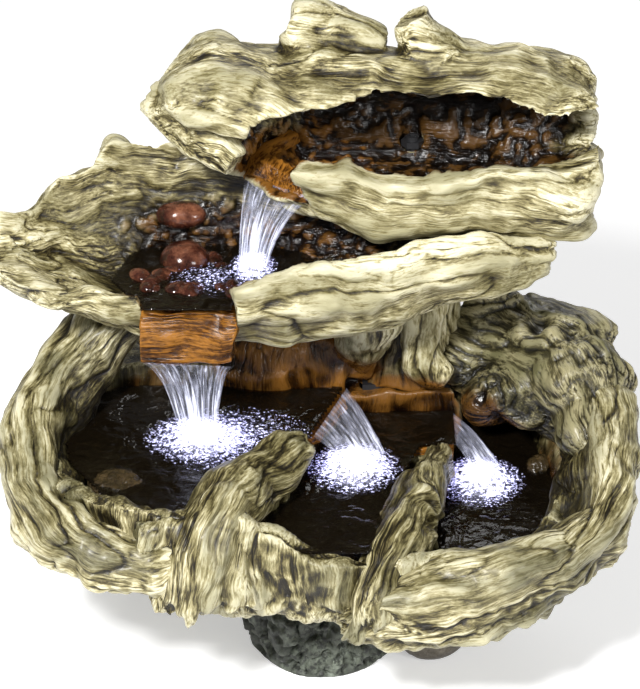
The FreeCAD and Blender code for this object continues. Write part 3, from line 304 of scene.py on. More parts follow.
def makeLimb(stations):
    limb = addShape(bpy.ops.curve.primitive_nurbs_path_add, "limb", radius=1)
    limb.data.splines.clear()
    spline = limb.data.splines.new("NURBS")
    spline.points.add(len(stations) - 1)
    for point, (x, y, z, radius) in zip(spline.points, stations):
        point.co = (x * mm, y * mm, z * mm, 1)
        point.radius = radius
    spline.order_u = 3
    spline.use_endpoint_u = True
    limb.data.bevel_depth = mm
    limb.data.bevel_resolution = 5
    limb.data.use_fill_caps = True
    pickOnly(limb)
    bpy.ops.object.convert(target="MESH")
    limb = bpy.context.active_object
    applyPlace(limb)
    return limb


def makeLump(at, halves, lean=(0, 0, 0)):
    lump = addShape(bpy.ops.mesh.primitive_ico_sphere_add, "lump", subdivisions=4, radius=mm, scale=halves,
                    location=[v * mm for v in at], rotation=[math.radians(a) for a in lean])
    applyPlace(lump)
    return lump


def meltExtras(piece, look):
    extras = [makeLimb(stations) for stations in look.get("limbs", [])]
    extras += [makeLump(*spot) for spot in look.get("lumps", [])]
    if extras:
        joinInto(piece, extras)
    applyModifier(piece, "REMESH", mode="VOXEL", voxel_size=look["voxel"] * mm)
    applyModifier(piece, "SMOOTH", factor=0.5, iterations=look["smooth"])


def nearSpot(co, at, reach):
    return np.exp(-(((co / mm - at) / reach) ** 2).sum(1))


# the ends of a log fray to unequal lengths
frayLook = {"seed": 40, "wide": (2.6, 3.1), "narrow": (0.6, 6.3), "reach": 0.07}


def frayEnds(co, grain, line, length, look):
    turn = grain * (0, 1, 1)
    turn /= np.maximum(np.linalg.norm(turn, axis=1), 1e-6)[:, None]
    scale, shift = frayLook["wide"]
    share, fine = frayLook["narrow"]
    seed, reach = look["seed"] + frayLook["seed"], frayLook["reach"]
    fray = softNoise(scale * turn + shift, seed) + share * softNoise(fine * turn, seed + 1)
    ends = ease(grain[:, 0], length - reach, length) - ease(grain[:, 0], reach, 0.0)
    place = np.clip((grain[:, 0] / length * (len(line) - 1)).astype(int), 0, len(line) - 1)
    return co + (ends * fray * look["fray"] * mm)[:, None] * tangentsOf(line)[place]


# the outer side of a rim is torn
tornWaves = [(1, 0.024, 50), (0.6, 0.011, 51)]
tornSide = {"down": (-0.35, 0.5), "out": (0.0, 0.1)}


def tearRim(co, normals, look):
    away = dots(normals[:, :2], co[:, :2])
    outer = ease(-normals[:, 2], *tornSide["down"]) * ease(away, *tornSide["out"])
    return co + normals * (outer * layered(co, tornWaves, look["seed"]) * look["ragged"] * mm)[:, None]


# a hollow log is soaked inside: which faces look inward, how far along and how high
soakLook = {"inward": (-0.1, 0.4), "ends": (0.25, 0.03, 62), "line": (0.3, 0.025, 63), "along": (0.75, 1.1),
            "high": (0.7, 1.2), "wetFrom": 0.3, "edge": (0, 0.3)}


def soakHollow(piece, co, out, look, wet, amber, damp):
    inner = ease(-dots(readNormals(piece), out), *soakLook["inward"])
    centre, half, low, top = look["hollow"]
    along = np.abs(co[:, 0] / mm - centre) / half + layered(co, [soakLook["ends"]])
    high = (co[:, 2] / mm - low) / (top - low) + layered(co, [soakLook["line"]])
    soaked = inner * (1 - ease(along, *soakLook["along"])) * (1 - ease(high, *soakLook["high"]))
    amber = np.where(wet > soakLook["wetFrom"], amber, look["golden"])
    return np.maximum(wet * ease(inner, *soakLook["edge"]), soaked), amber, inner * damp


# a knot bends the grain round it and has rings, a raised collar and a dark pit (share, width)
knotLook = {"bend": (1.3, 1.5), "rings": (0.5, 1.1), "turns": 15, "wobble": (2, 0.02, 5), "collarAt": 0.8,
            "collar": 0.55, "pit": 0.5, "dark": (0.6, 0.45), "ringTone": 0.12}


def bell(away, share, width):
    return share * np.exp(-(away / width) ** 2)


def growKnots(co, grain, knots):
    lift, tone = np.zeros((2, len(co)))
    for at, reach, raised, sunk in knots:
        toward = co - np.array(at) * mm
        away = np.linalg.norm(toward, axis=1) / (reach * mm)
        grain = grain + toward * bell(away, *knotLook["bend"])[:, None]
        wave = np.sin(knotLook["turns"] * away + layered(co, [knotLook["wobble"]]))
        rings = wave * bell(away, *knotLook["rings"])
        collar = bell(away - knotLook["collarAt"], raised, knotLook["collar"])
        lift += (collar - bell(away, sunk, knotLook["pit"]) + rings) * mm
        tone += bell(away, *knotLook["dark"]) - knotLook["ringTone"] * rings
    return grain, lift, tone


# the wet bed of a hollow log is pebbled: size, wander, height (mm) and tone
bedLook = {"size": 0.019, "bend": 0.3, "fine": 0.008, "height": 9, "level": 0.3, "tone": 0.7,
           "toneLevel": 0.34}
# hollows are painted darker and ridges paler: partly dirt and wear, partly painted shade in the hollows and
# painted highlight on the ridges
hollowDirtAndShadeLook = [(0.2, 8, 0.8), (0.16, 60, 4)]  # tone share, rounds of smoothing, depth of a full hollow (mm)
dampTone = 0.34
calmShare = {"wet": 0.7, "bed": 0.3, "works": 0.8}  # how much flatter wet wood and wood by the door is


def castWood(name, look):
    piece = copyCasting(name)
    meltExtras(piece, look)
    co = readPoints(piece)
    for at, move, reach in look.get("pulls", []):
        co = co + nearSpot(co, at, reach)[:, None] * np.array(move) * mm
    line = smoothLine(look["line"])
    grain, out, length = grainAlong(co, line)
    if "fray" in look:
        co = frayEnds(co, grain, line, length, look)
    wet, amber, damp = wetness(co)
    co = warpAll(co)
    if "ragged" in look:
        co = tearRim(co, readNormals(piece), look)
    writePoints(piece, co)
    if "hollow" in look:
        wet, amber, damp = soakHollow(piece, co, out, look, wet, amber, damp)
    grain, knotLift, knotTone = growKnots(co, grain, look.get("knots", []))
    height, tone = grainRelief(grain, look)
    # spots of painted shade, and of painted light where the amount is negative; on the slopes down to the
    # pools the dark spots also stand for wet wood
    for at, reach, dark in look.get("paintedShadeLightAndWet", []):
        tone = tone - dark * nearSpot(co, at, reach)
    calm = 1 - calmShare["wet"] * wet
    if "hollow" in look:
        bed = np.abs(softNoise(wander(co / bedLook["size"], bedLook["bend"], 66), 67))
        bed = bed + 0.5 * np.abs(softNoise(co / bedLook["fine"], 68))
        height += bedLook["height"] * wet * (bed - bedLook["level"])
        tone += bedLook["tone"] * wet * (bed - bedLook["toneLevel"])
        calm = 1 - calmShare["bed"] * wet
    plain = 1 - calmShare["works"] * nearWorks(co, grainRoom)
    co = co + readNormals(piece) * (height * calm * plain * mm + knotLift)[:, None]
    writePoints(piece, co)
    # painted shade in the hollows and painted highlight on the ridges, with dirt and wear, from how hollow
    # the surface is
    worn = sum(share * np.clip(hollowness(piece, rounds) / full, -1, 1.5) for share, rounds, full in hollowDirtAndShadeLook)
    # the look's extra lift is painted light on pieces that sit in shade
    tone = tone - knotTone - worn - dampTone * damp * (1 - wet) + look.get("paintedLight", 0)
    fields = {"grain": grain, "relief": np.clip(tone, 0, 1), "wet": wet, "amber": amber}
    for field, values in fields.items():
        storeField(piece, field, values)
    settle(piece, look["material"])


# shader helpers
white = (1, 1, 1)


def addNode(tree, kind, **values):
    node = tree.nodes.new("ShaderNode" + kind)
    for key, value in values.items():
        if key in node.inputs:
            node.inputs[key].default_value = value
        else:
            setattr(node, key, value)
    return node


def linkTo(tree, source, output, target, entry):
    tree.links.new(source.outputs[output], target.inputs[entry])


def setSockets(shader, values):
    for key, value in values.items():
        shader.inputs[key].default_value = value


def makeRamp(tree, stops, source, output):
    ramp = addNode(tree, "ValToRGB")
    while len(ramp.color_ramp.elements) < len(stops):
        ramp.color_ramp.elements.new(0.5)
    for element, (place, colour) in zip(ramp.color_ramp.elements, stops):
        element.position = place
        element.color = (*colour, 1)
    linkTo(tree, source, output, ramp, "Fac")
    return ramp


def makeSpan(tree, low, high, source, output):
    span = addNode(tree, "MapRange")
    setSockets(span, {"To Min": low, "To Max": high})
    linkTo(tree, source, output, span, "Value")
    return span


def mixColours(tree, first, second, blend="MIX"):
    mixed = addNode(tree, "Mix", data_type="RGBA", blend_type=blend)
    mixed.inputs["Factor"].default_value = 1.0
    tree.links.new(first, mixed.inputs[6])
    tree.links.new(second, mixed.inputs[7])
    return mixed


def addBump(tree, shader, source, output, strength, distance):
    bump = addNode(tree, "Bump", Strength=strength, Distance=distance)
    linkTo(tree, source, output, bump, "Height")
    linkTo(tree, bump, "Normal", shader, "Normal")


def objectNoise(tree, stretch=(1, 1, 1), **values):
    place = addNode(tree, "TexCoord")
    scaled = addNode(tree, "Mapping", Scale=stretch)
    linkTo(tree, place, "Object", scaled, "Vector")
    noise = addNode(tree, "TexNoise", **values)
    linkTo(tree, scaled, "Vector", noise, "Vector")
    return noise


def streakNoise(tree, source, output, stretch, detail, distortion):
    scaled = addNode(tree, "VectorMath", operation="MULTIPLY")
    scaled.inputs[1].default_value = stretch
    linkTo(tree, source, output, scaled, 0)
    noise = addNode(tree, "TexNoise", Scale=1.0, Detail=detail, Roughness=0.6, Distortion=distortion)
    linkTo(tree, scaled, 0, noise, "Vector")
    return noise


def newMaterial(name):
    material = bpy.data.materials.new(name)
    material.use_nodes = True
    tree = material.node_tree
    return material, tree, tree.nodes["Principled BSDF"]


def buildFibreGroup():
    group = bpy.data.node_groups.new("woodFibre", "ShaderNodeTree")
    sockets = {"INPUT": {"Grain": "Vector", "Relief": "Float", "Contrast": "Float"},
               "OUTPUT": {"Tone": "Float", "Height": "Float", "Patch": "Float"}}
    for side, kinds in sockets.items():
        for label, kind in kinds.items():
            group.interface.new_socket(label, in_out=side, socket_type="NodeSocket" + kind)
    start, end = group.nodes.new("NodeGroupInput"), group.nodes.new("NodeGroupOutput")

    def streaks(stretch, detail, distortion):
        return streakNoise(group, start, "Grain", stretch, detail, distortion).outputs["Fac"]

    def combine(operation, first, second, **values):
        made = addNode(group, "Math", operation=operation, **values)
        for entry, source in ((0, first), (1, second)):
            if isinstance(source, float):
                made.inputs[entry].default_value = source
            else:
                group.links.new(source, made.inputs[entry])
        return made.outputs[0]

    def cracks(stretch, width, distortion):
        off = combine("ABSOLUTE", combine("SUBTRACT", streaks(stretch, 2.0, distortion), 0.5), 0.0)
        return combine("MINIMUM", combine("DIVIDE", off, width), 1.0)

    # stretch per metre, detail and distortion; for cracks stretch, width and distortion
    fibre = streaks((16, 420, 420), 4.0, 0.5)
    band = streaks((12, 120, 120), 4.0, 1.1)
    grit = streaks((170, 560, 560), 3.0, 0.4)
    patch = streaks((9, 26, 26), 3.0, 0.3)
    cluster = combine("MULTIPLY", combine("SUBTRACT", patch, 0.44), 5.0, use_clamp=True)
    wide = cracks((6.0, 60.0, 60.0), 0.045, 0.8)
    thin = cracks((9.0, 150.0, 150.0), 0.07, 0.5)
    whole = combine("ADD", combine("MULTIPLY", wide, 0.42), combine("MULTIPLY", thin, 0.26))
    lines = combine("MULTIPLY", combine("SUBTRACT", whole, 0.68), cluster)
    mixed, height = combine("ADD", lines, 0.14), combine("MULTIPLY", lines, 1.4)
    for streak, dark, raised in ((fibre, 1.25, 0.6), (band, 0.22, 0.4), (grit, 0.9, 0.35)):
        mixed = combine("ADD", mixed, combine("MULTIPLY", combine("SUBTRACT", streak, 0.5), dark))
        height = combine("ADD", height, combine("MULTIPLY", streak, raised))
    scaled = combine("MULTIPLY", mixed, start.outputs["Contrast"])
    tone = combine("ADD", scaled, start.outputs["Relief"], use_clamp=True)
    for entry, source in (("Tone", tone), ("Height", height), ("Patch", patch)):
        group.links.new(source, end.inputs[entry])
    return group


fibreGroup = buildFibreGroup()


def makeWood(name, look):
    material, tree, shader = newMaterial(name)
    fields = ("grain", "relief", "wet", "amber")
    grain, relief, wet, amber = [addNode(tree, "Attribute", attribute_name=field) for field in fields]
    fibre = addNode(tree, "Group", node_tree=fibreGroup)
    fade = makeSpan(tree, look["contrast"], look["contrast"] * look["wetContrast"], wet, "Fac")
    linkTo(tree, fade, "Result", fibre, "Contrast")
    linkTo(tree, grain, "Vector", fibre, "Grain")
    linkTo(tree, relief, "Fac", fibre, "Relief")
    dry = makeRamp(tree, look["dry"], fibre, "Tone")
    stain = makeRamp(tree, look["stain"], fibre, "Patch")
    stained = mixColours(tree, dry.outputs["Color"], stain.outputs["Color"], "MULTIPLY")
    soaked = makeRamp(tree, look["soaked"], fibre, "Tone")
    golden = makeRamp(tree, look["golden"], fibre, "Tone")
    drenched = mixColours(tree, soaked.outputs["Color"], golden.outputs["Color"])
    linkTo(tree, amber, "Fac", drenched, "Factor")
    both = mixColours(tree, stained.outputs[2], drenched.outputs[2])
    linkTo(tree, wet, "Fac", both, "Factor")
    tree.links.new(both.outputs[2], shader.inputs["Base Color"])
    rough = makeSpan(tree, look["dryRough"], look["wetRough"], wet, "Fac")
    linkTo(tree, rough, "Result", shader, "Roughness")
    addBump(tree, shader, fibre, "Height", strength=look["bump"], distance=0.0016)
    setSockets(shader, {"Specular IOR Level": look["gloss"], "Coat Weight": look["lacquer"],
                        "Coat Roughness": 0.22})
    return material


soakedTones = [(0.15, (0.002, 0.001, 0.0004)), (0.5, (0.009, 0.0045, 0.0014)), (0.85, (0.055, 0.027, 0.007))]
goldenTones = [(0.15, (0.006, 0.002, 0.001)), (0.45, (0.05, 0.019, 0.003)), (0.85, (0.25, 0.105, 0.017))]
woodBase = {"bump": 1.0, "dryRough": 0.45, "wetRough": 0.2, "lacquer": 0.1, "gloss": 0.4, "wetContrast": 0.4,
            "soaked": soakedTones, "golden": goldenTones}
paleWood = makeWood("paleDriftwood", {
    **woodBase, "contrast": 1.0,
    "dry": [(0.05, (0.012, 0.008, 0.002)), (0.28, (0.08, 0.062, 0.02)), (0.52, (0.27, 0.23, 0.104)),
            (0.74, (0.54, 0.48, 0.275)), (0.95, (0.8, 0.75, 0.54))],
    "stain": [(0.38, (0.46, 0.45, 0.36)), (0.58, (1.0, 1.0, 0.98))]})
# the lower tier's wood: the pale wood's colours made darker, painted shade for the lower parts
shadedRimWood = makeWood("shadedLowTierDriftwood", {
    **woodBase, "contrast": 1.05,
    "dry": [(0.05, (0.01, 0.007, 0.002)), (0.28, (0.068, 0.053, 0.017)), (0.52, (0.225, 0.192, 0.086)),
            (0.74, (0.47, 0.415, 0.235)), (0.95, (0.74, 0.69, 0.49))],
    "stain": [(0.38, (0.26, 0.26, 0.2)), (0.5, (0.72, 0.72, 0.66)), (0.62, (1.0, 1.0, 0.98))]})
greyWood = makeWood("greyDriftwood", {
    **woodBase, "contrast": 1.05, "dryRough": 0.38, "lacquer": 0.2,
    "dry": [(0.06, (0.006, 0.005, 0.002)), (0.34, (0.04, 0.034, 0.014)), (0.6, (0.13, 0.11, 0.052)),
            (0.85, (0.35, 0.312, 0.18))],
    "stain": [(0.36, (0.38, 0.4, 0.32)), (0.58, (1.0, 1.0, 0.96))]})
lipTones = [(0.15, (0.008, 0.002, 0.001)), (0.5, (0.072, 0.025, 0.003)), (0.85, (0.29, 0.118, 0.016))]
lipWood = makeWood("amberLip", {
    "contrast": 1.1, "bump": 0.8, "dryRough": 0.3, "wetRough": 0.22, "lacquer": 0.02, "gloss": 0.25,
    "wetContrast": 1.0, "dry": lipTones,
    "stain": [(0.36, (0.5, 0.42, 0.34)), (0.58, white)], "soaked": lipTones, "golden": lipTones})
print("wood materials made")

# layers of grain: length, width, bend, swell and groove (mm), line share, dark share
logLayers = [(260, 62, 1.1, 2.6, 2.6, 0.035, 0.24), (120, 24, 1.3, 0.5, 1.4, 0.06, 0.16)]
rimLayers = [(170, 46, 1.3, 2.4, 2.6, 0.035, 0.24), (80, 18, 1.4, 0.5, 1.4, 0.07, 0.16)]
wallLayers = [(120, 44, 1.2, 2.6, 2.6, 0.04, 0.24), (80, 20, 1.3, 0.5, 1.4, 0.07, 0.16)]
lipLayers = [(90, 16, 0.5, 0.2, 0.5, 0.06, 0.16)]

# upper log, with lobes at its left end and fuller stubs
upperLook = {
    "line": [(-170, 60, 534), (-100, 60, 528), (0, 60, 500), (120, 60, 490), (270, 60, 478)],
    "voxel": 2.25, "smooth": 5, "layers": logLayers, "fray": 6, "seed": 1,
    "hollow": (104, 150, 440, 560), "golden": 0.12, "material": paleWood, "slot": "driftwood",
    "lumps": [((-96, 84, 560), (34, 40, 28))],
    "limbs": [[(-168, 40, 545, 13), (-140, 30, 532, 20), (-110, 18, 512, 22), (-80, 8, 492, 18)],
              [(52, 80, 572, 26), (12, 78, 590, 27), (-26, 76, 606, 21)],
              [(104, 62, 575, 28), (90, 62, 600, 22), (82, 62, 616, 18)],
              [(92, 62, 578, 26), (126, 62, 568, 22), (165, 62, 562, 16)]],
    "pulls": [((-175, 84, 566), (24, 0, -6), (44, 60, 34)), ((-188, 40, 540), (8, 0, -8), (30, 50, 24)),
              ((282, 70, 545), (-22, 0, 0), (30, 80, 50)),
              ((270, 0, 450), (-12, 0, 0), (40, 60, 50)), ((100, -10, 548), (0, 0, -12), (170, 40, 22))],
    "paintedShadeLightAndWet": [((-60, 10, 520), (60, 60, 40), 0.12), ((60, 20, 556), (130, 50, 16), 0.2),
               ((120, -30, 470), (160, 30, 30), -0.06)]}
castWood("upperLog", upperLook)

# middle log, with a ragged rim round its wing
middleLook = {
    "line": [(-300, 20, 392), (-200, 26, 398), (-60, 30, 396), (80, 30, 392), (220, 28, 400)],
    "voxel": 2.0, "smooth": 6, "layers": logLayers, "fray": 8, "seed": 2,
    "hollow": (-80, 105, 340, 420), "golden": 0.25, "material": paleWood, "slot": "driftwood",
    "pulls": [((-191, 92, 462), (-6, 6, 17), (20, 22, 26)), ((-160, 98, 470), (0, 0, -13), (13, 20, 20)),
              ((-135, 104, 470), (0, 4, 11), (18, 20, 20)), ((-213, 80, 445), (4, 0, -15), (11, 20, 20)),
              ((-240, 62, 425), (-6, 4, 15), (17, 20, 22)), ((-265, 46, 420), (0, 0, -9), (10, 16, 18)),
              ((-288, 30, 405), (-8, 0, 15), (14, 16, 20)), ((-296, 8, 390), (-8, 0, 0), (14, 14, 18)),
              ((205, 10, 405), (8, 0, 10), (14, 20, 16)), ((150, -10, 415), (0, 0, 8), (18, 18, 16))],
    "paintedShadeLightAndWet": [((-130, 50, 400), (80, 60, 50), 0.22), ((40, 20, 400), (110, 30, 26), 0.3),
               ((100, -50, 395), (150, 44, 44), -0.28)]}
castWood("middleLog", middleLook)

# lower basin, with upright grain on its wall
basinLook = {
    "line": [(0, -10, 60), (0, -10, 260)], "voxel": 2.7, "smooth": 6, "layers": wallLayers,
    "ragged": 6, "seed": 3, "material": shadedRimWood, "slot": "driftwood",
    "limbs": [[(-120, 110, 236, 30), (-60, 104, 250, 38), (0, 100, 250, 36), (28, 92, 246, 24),
               (56, 92, 238, 15)]],
    "paintedShadeLightAndWet": [((-160, -155, 226), (90, 44, 24), 0.36), ((10, -176, 196), (50, 20, 16), 0.3)]}
castWood("lowerBasin", basinLook)

# logs and roots round the pools
rimLooks = {
    "leftPropLog": {
        "seed": 4,
        "line": [(-110, -194, 184), (-178, -188, 180), (-226, -158, 188), (-252, -104, 210), (-260, -45, 236),
                 (-244, 8, 266), (-205, 48, 300), (-165, 66, 332)],
        "lumps": [((-225, -150, 182), (34, 26, 30)), ((-180, -186, 172), (38, 20, 26))],
        "pulls": [((-205, -175, 150), (0, 0, 20), (60, 40, 30)),
                  ((-224, -40, 262), (-8, 0, -36), (26, 90, 34)),
                  ((-286, -50, 236), (-6, 0, 12), (16, 30, 30)),
                  ((-262, -110, 180), (-6, -8, -8), (20, 26, 24))],
        "paintedShadeLightAndWet": [((-212, -30, 232), (32, 100, 40), 0.42), ((-180, 60, 320), (50, 40, 50), 0.25),
                   ((-160, -160, 205), (50, 24, 26), 0.3)]},
    "rightRimLog": {
        "seed": 5,
        "line": [(60, -200, 148), (108, -198, 159), (168, -186, 168), (226, -148, 180), (254, -88, 200),
                 (260, -20, 222), (250, 40, 234)],
        "limbs": [[(22, -204, 136, 16), (62, -206, 146, 28), (112, -204, 156, 36), (150, -196, 162, 34)],
                  [(30, -212, 128, 14), (74, -214, 134, 22), (130, -212, 138, 26), (190, -188, 146, 28),
                   (240, -142, 160, 28), (268, -84, 182, 26), (276, -20, 206, 22)]],
        "pulls": [((224, -10, 246), (8, 0, -40), (26, 80, 34)),
                  ((206, -104, 222), (10, 8, -34), (40, 44, 30)),
                  ((150, -158, 204), (0, 10, -26), (60, 28, 26)), ((286, -60, 214), (4, 0, 14), (14, 26, 20)),
                  ((292, -10, 236), (6, 0, 12), (14, 20, 20)), ((262, -130, 170), (8, -6, -6), (16, 22, 22))],
        "paintedShadeLightAndWet": [((240, 30, 240), (60, 70, 50), 0.25), ((216, -30, 205), (40, 80, 60), 0.42),
                   ((170, -136, 180), (60, 34, 40), 0.3)]},
    "leftDividerRoot": {
        "seed": 6,
        "line": [(-16, -44, 216), (-46, -96, 225), (-74, -146, 225), (-92, -182, 221), (-104, -204, 184),
                 (-108, -206, 136)],
        "paintedShadeLightAndWet": [((-60, -120, 230), (60, 90, 40), 0.1), ((-100, -206, 150), (60, 20, 30), 0.1)],
        "limbs": [[(-84, -196, 200, 22), (-74, -206, 168, 18), (-68, -208, 148, 13)],
                  [(-116, -202, 190, 22), (-132, -206, 166, 18), (-144, -204, 148, 13)]]},
    "rightDividerRoot": {
        "seed": 7,
        "line": [(118, 0, 190), (98, -70, 190), (76, -144, 190), (58, -196, 170), (44, -222, 126)],
        "limbs": [[(66, -186, 176, 22), (88, -204, 156, 20), (106, -208, 140, 14)],
                  [(50, -210, 154, 18), (34, -220, 138, 12), (30, -222, 128, 8)]],
        "paintedShadeLightAndWet": [((90, -90, 200), (50, 110, 50), 0.1)],
        "knots": [((106, -122, 206), 13, 2.5, 3)]},
    "spurRoot": {
        "seed": 8,
        "line": [(38, 84, 240), (40, 74, 271), (44, 46, 316), (46, 30, 366)], "paintedLight": 0.14},
}
rimBase = {"voxel": 1.9, "smooth": 6, "layers": rimLayers, "fray": 8, "ragged": 7, "material": shadedRimWood,
           "slot": "driftwood"}
for name, look in rimLooks.items():
    castWood(name, {**look, **rimBase})

greyLooks = {
    "rightBackStump": {
        "seed": 9, "smooth": 16,
        "line": [(275, 0, 195), (254, 50, 218), (222, 94, 234), (175, 130, 230)],
        "layers": [(120, 34, 1.8, 2.6, 4.0, 0.05, 0.34), (60, 13, 1.6, 0.6, 2.0, 0.08, 0.34)],
        "lumps": [((226, 66, 224), (74, 48, 42)), ((268, 44, 234), (36, 40, 34)),
                  ((282, 12, 218), (24, 26, 24)), ((248, 92, 268), (44, 30, 22)),
                  ((188, 108, 266), (32, 28, 24)), ((168, 78, 206), (36, 34, 30)),
                  ((248, 36, 248), (46, 44, 42)), ((258, -4, 222), (38, 44, 32)),
                  ((176, 116, 262), (44, 28, 46)), ((152, 102, 232), (38, 28, 36)),
                  ((214, 100, 250), (60, 34, 50))],
        "knots": [((163, 52, 224), 13, 3, 3), ((251, 26, 246), 18, 4, 4), ((211, 70, 290), 20, 5, 16)]},
    "rearTrunk": {
        "seed": 10,
        "line": [(88, 130, 200), (88, 128, 267), (87, 118, 337), (86, 104, 460)], "material": paleWood,
        "smooth": 6, "layers": rimLayers, "fray": 4, "paintedLight": 0.1},
}
greyBase = {"material": greyWood, "voxel": 1.9, "slot": "driftwood_grey"}
for name, look in greyLooks.items():
    castWood(name, {**greyBase, **look})

# spill lips
lipLooks = {
    "upperSpillLip": {"line": [(-20, 60, 470), (-50, 14, 455)], "seed": 11},
    "middleSpillLip": {"line": [(-180, -60, 350), (-60, -60, 350)], "seed": 12},
    "leftPoolLip": {"line": [(-40, 10, 222), (20, -10, 210)], "seed": 13,
                    "paintedLight": 0.18},
    "centrePoolLip": {"line": [(70, 34, 194), (140, 34, 180)], "seed": 14,
                      "pulls": [((98, 56, 198), (0, 0, -5), (26, 18, 20))], "paintedLight": 0.12},
}
lipBase = {"voxel": 1.5, "smooth": 4, "layers": lipLayers, "material": lipWood, "slot": "lip_brown"}
for name, look in lipLooks.items():
    castWood(name, {**look, **lipBase})


# stones: the boulder foot is pitted lava, the others are smoother

def makeStone(name, look):
    material, tree, shader = newMaterial(name)
    cloud = objectNoise(tree, Scale=look["scale"], Detail=6.0, Roughness=0.65, Distortion=0.3)
    speck = objectNoise(tree, Scale=look["speckScale"], Detail=3.0, Roughness=0.7)
    colour = makeRamp(tree, look["colours"], cloud, "Fac")
    specks = makeRamp(tree, look["specks"], speck, "Fac")
    mixed = mixColours(tree, colour.outputs["Color"], specks.outputs["Color"], "MULTIPLY")
    tree.links.new(mixed.outputs[2], shader.inputs["Base Color"])
    rough = makeSpan(tree, *look["rough"], cloud, "Fac")
    linkTo(tree, rough, "Result", shader, "Roughness")
    addBump(tree, shader, speck, "Fac", strength=look["bump"], distance=0.001)
    return material


lavaStone = makeStone("lavaStone", {
    "scale": 36, "speckScale": 130, "bump": 1.0, "rough": (0.4, 0.7),
    "colours": [(0.32, (0.02, 0.023, 0.018)), (0.48, (0.07, 0.08, 0.06)), (0.6, (0.15, 0.17, 0.132)),
                (0.72, (0.38, 0.42, 0.36))],
    "specks": [(0.4, (0.14, 0.15, 0.13)), (0.5, (0.8, 0.8, 0.8)), (0.62, white)]})
riverStone = makeStone("riverStone", {
    "scale": 30, "speckScale": 420, "bump": 0.25, "rough": (0.35, 0.6),
    "colours": [(0.3, (0.055, 0.048, 0.036)), (0.55, (0.15, 0.13, 0.1)), (0.75, (0.31, 0.28, 0.23))],
    "specks": [(0.35, (0.6, 0.58, 0.55)), (0.6, white)]})
redPebble = makeStone("redPebble", {
    "scale": 42, "speckScale": 500, "bump": 0.15, "rough": (0.08, 0.2),
    "colours": [(0.34, (0.006, 0.003, 0.002)), (0.5, (0.055, 0.016, 0.009)), (0.68, (0.24, 0.095, 0.05))],
    "specks": [(0.3, (0.6, 0.5, 0.5)), (0.6, white)]})
mossStone = makeStone("mossStone", {
    "scale": 60, "speckScale": 520, "bump": 0.4, "rough": (0.12, 0.35),
    "colours": [(0.3, (0.01, 0.007, 0.003)), (0.55, (0.048, 0.032, 0.013)), (0.78, (0.14, 0.09, 0.04))],
    "specks": [(0.3, (0.5, 0.5, 0.45)), (0.6, white)]})


stoneBase = {"smooth": 8, "pitBend": 0.6, "pitEdge": (0.05, 0.4), "soleFade": 0.006}


def castStone(name, look):
    piece = copyCasting(name)
    meltExtras(piece, look)
    co = readPoints(piece)
    lumpy = look["lumpy"] * softNoise(co / (look["lumpSize"] * mm), look["seed"])
    pits = np.zeros(len(co))
    for size, depth, seed in look.get("pits", []):
        spread = softNoise(wander(co / (size * mm), look["pitBend"], seed), seed + 4)
        pits += depth * ease(spread, *look["pitEdge"])
    high = ease(co[:, 2], 0, look["soleFade"]) if "sole" in look else 1.0
    co = co + readNormals(piece) * ((lumpy - pits) * high * mm)[:, None]
    if "sole" in look:
        co[:, 2] = np.maximum(co[:, 2], 0)
    writePoints(piece, co)
    settle(piece, look["material"])


stoneLooks = {
    "boulderFoot": {
        "voxel": 2.3, "lumpy": 6.0, "lumpSize": 46, "seed": 70, "sole": True, "slot": "lava_rock",
        "lumps": [((-62, 150, 84), (84, 50, 34)), ((160, 150, 84), (22, 44, 32)),
                  ((-70, 176, 46), (70, 26, 38))],
        "pits": [(26, 7.0, 71), (14, 7.0, 76), (8.5, 5.0, 81)], "material": lavaStone},
    "sideStones": {
        "voxel": 1.6, "lumpy": 2.0, "lumpSize": 30, "seed": 72, "sole": True, "slot": "river_stone",
        "pits": [(9, 0.5, 73)], "material": riverStone},
    "bowlPebbles": {
        "voxel": 1.0, "lumpy": 1.0, "lumpSize": 16, "seed": 74, "slot": "pebble_red", "material": redPebble},
    "poolStones": {
        "voxel": 1.4, "lumpy": 2.4, "lumpSize": 18, "seed": 75, "slot": "pebble_brown",
        "pits": [(9, 1.6, 77), (5, 0.9, 78)], "material": mossStone},
}
for name, look in stoneLooks.items():
    castStone(name, {**stoneBase, **look})


# small wet pebbles lie loose round the bowl's water, clear of the spot where the fall lands
gravelLook = {
    "count": 24, "seed": 21, "centre": (-112, 4, 376), "spread": (62, 46), "far": (0.45, 1.0),
    "radius": (5.0, 11.0), "long": (0.9, 1.4), "flat": (0.5, 0.8), "sunk": 0.3, "climb": 10, "climbFrom": 0.8,
    "clearOf": (-63, 24), "away": 30, "front": -34, "worn": (1.4 * mm, 0.012, 130)}


def strewGravel(name, look):
    dice = np.random.RandomState(look["seed"])
    pebbles = []
    while len(pebbles) < look["count"]:
        turn = dice.uniform(0, 2 * math.pi)
        far = dice.uniform(*look["far"])
        radius = dice.uniform(*look["radius"])
        climb = look["climb"] * max(0.0, far - look["climbFrom"])
        at = [look["centre"][0] + look["spread"][0] * far * math.cos(turn),
              look["centre"][1] + look["spread"][1] * far * math.sin(turn),
              look["centre"][2] - look["sunk"] * radius + climb]
        halves = (radius * dice.uniform(*look["long"]), radius, radius * dice.uniform(*look["flat"]))
        if math.dist(at[:2], look["clearOf"]) > look["away"] and at[1] > look["front"]:
            pebbles.append(makeLump(at, halves, (0, 0, dice.uniform(0, 180))))
    joinInto(pebbles[0], pebbles[1:])
    piece = bpy.context.active_object
    piece.name = name
    co = readPoints(piece)
    writePoints(piece, co + readNormals(piece) * layered(co, [look["worn"]])[:, None])
    settle(piece, redPebble)


strewGravel("bowlGravel", gravelLook)


# water: still pools, falling sheets, foam lit from below

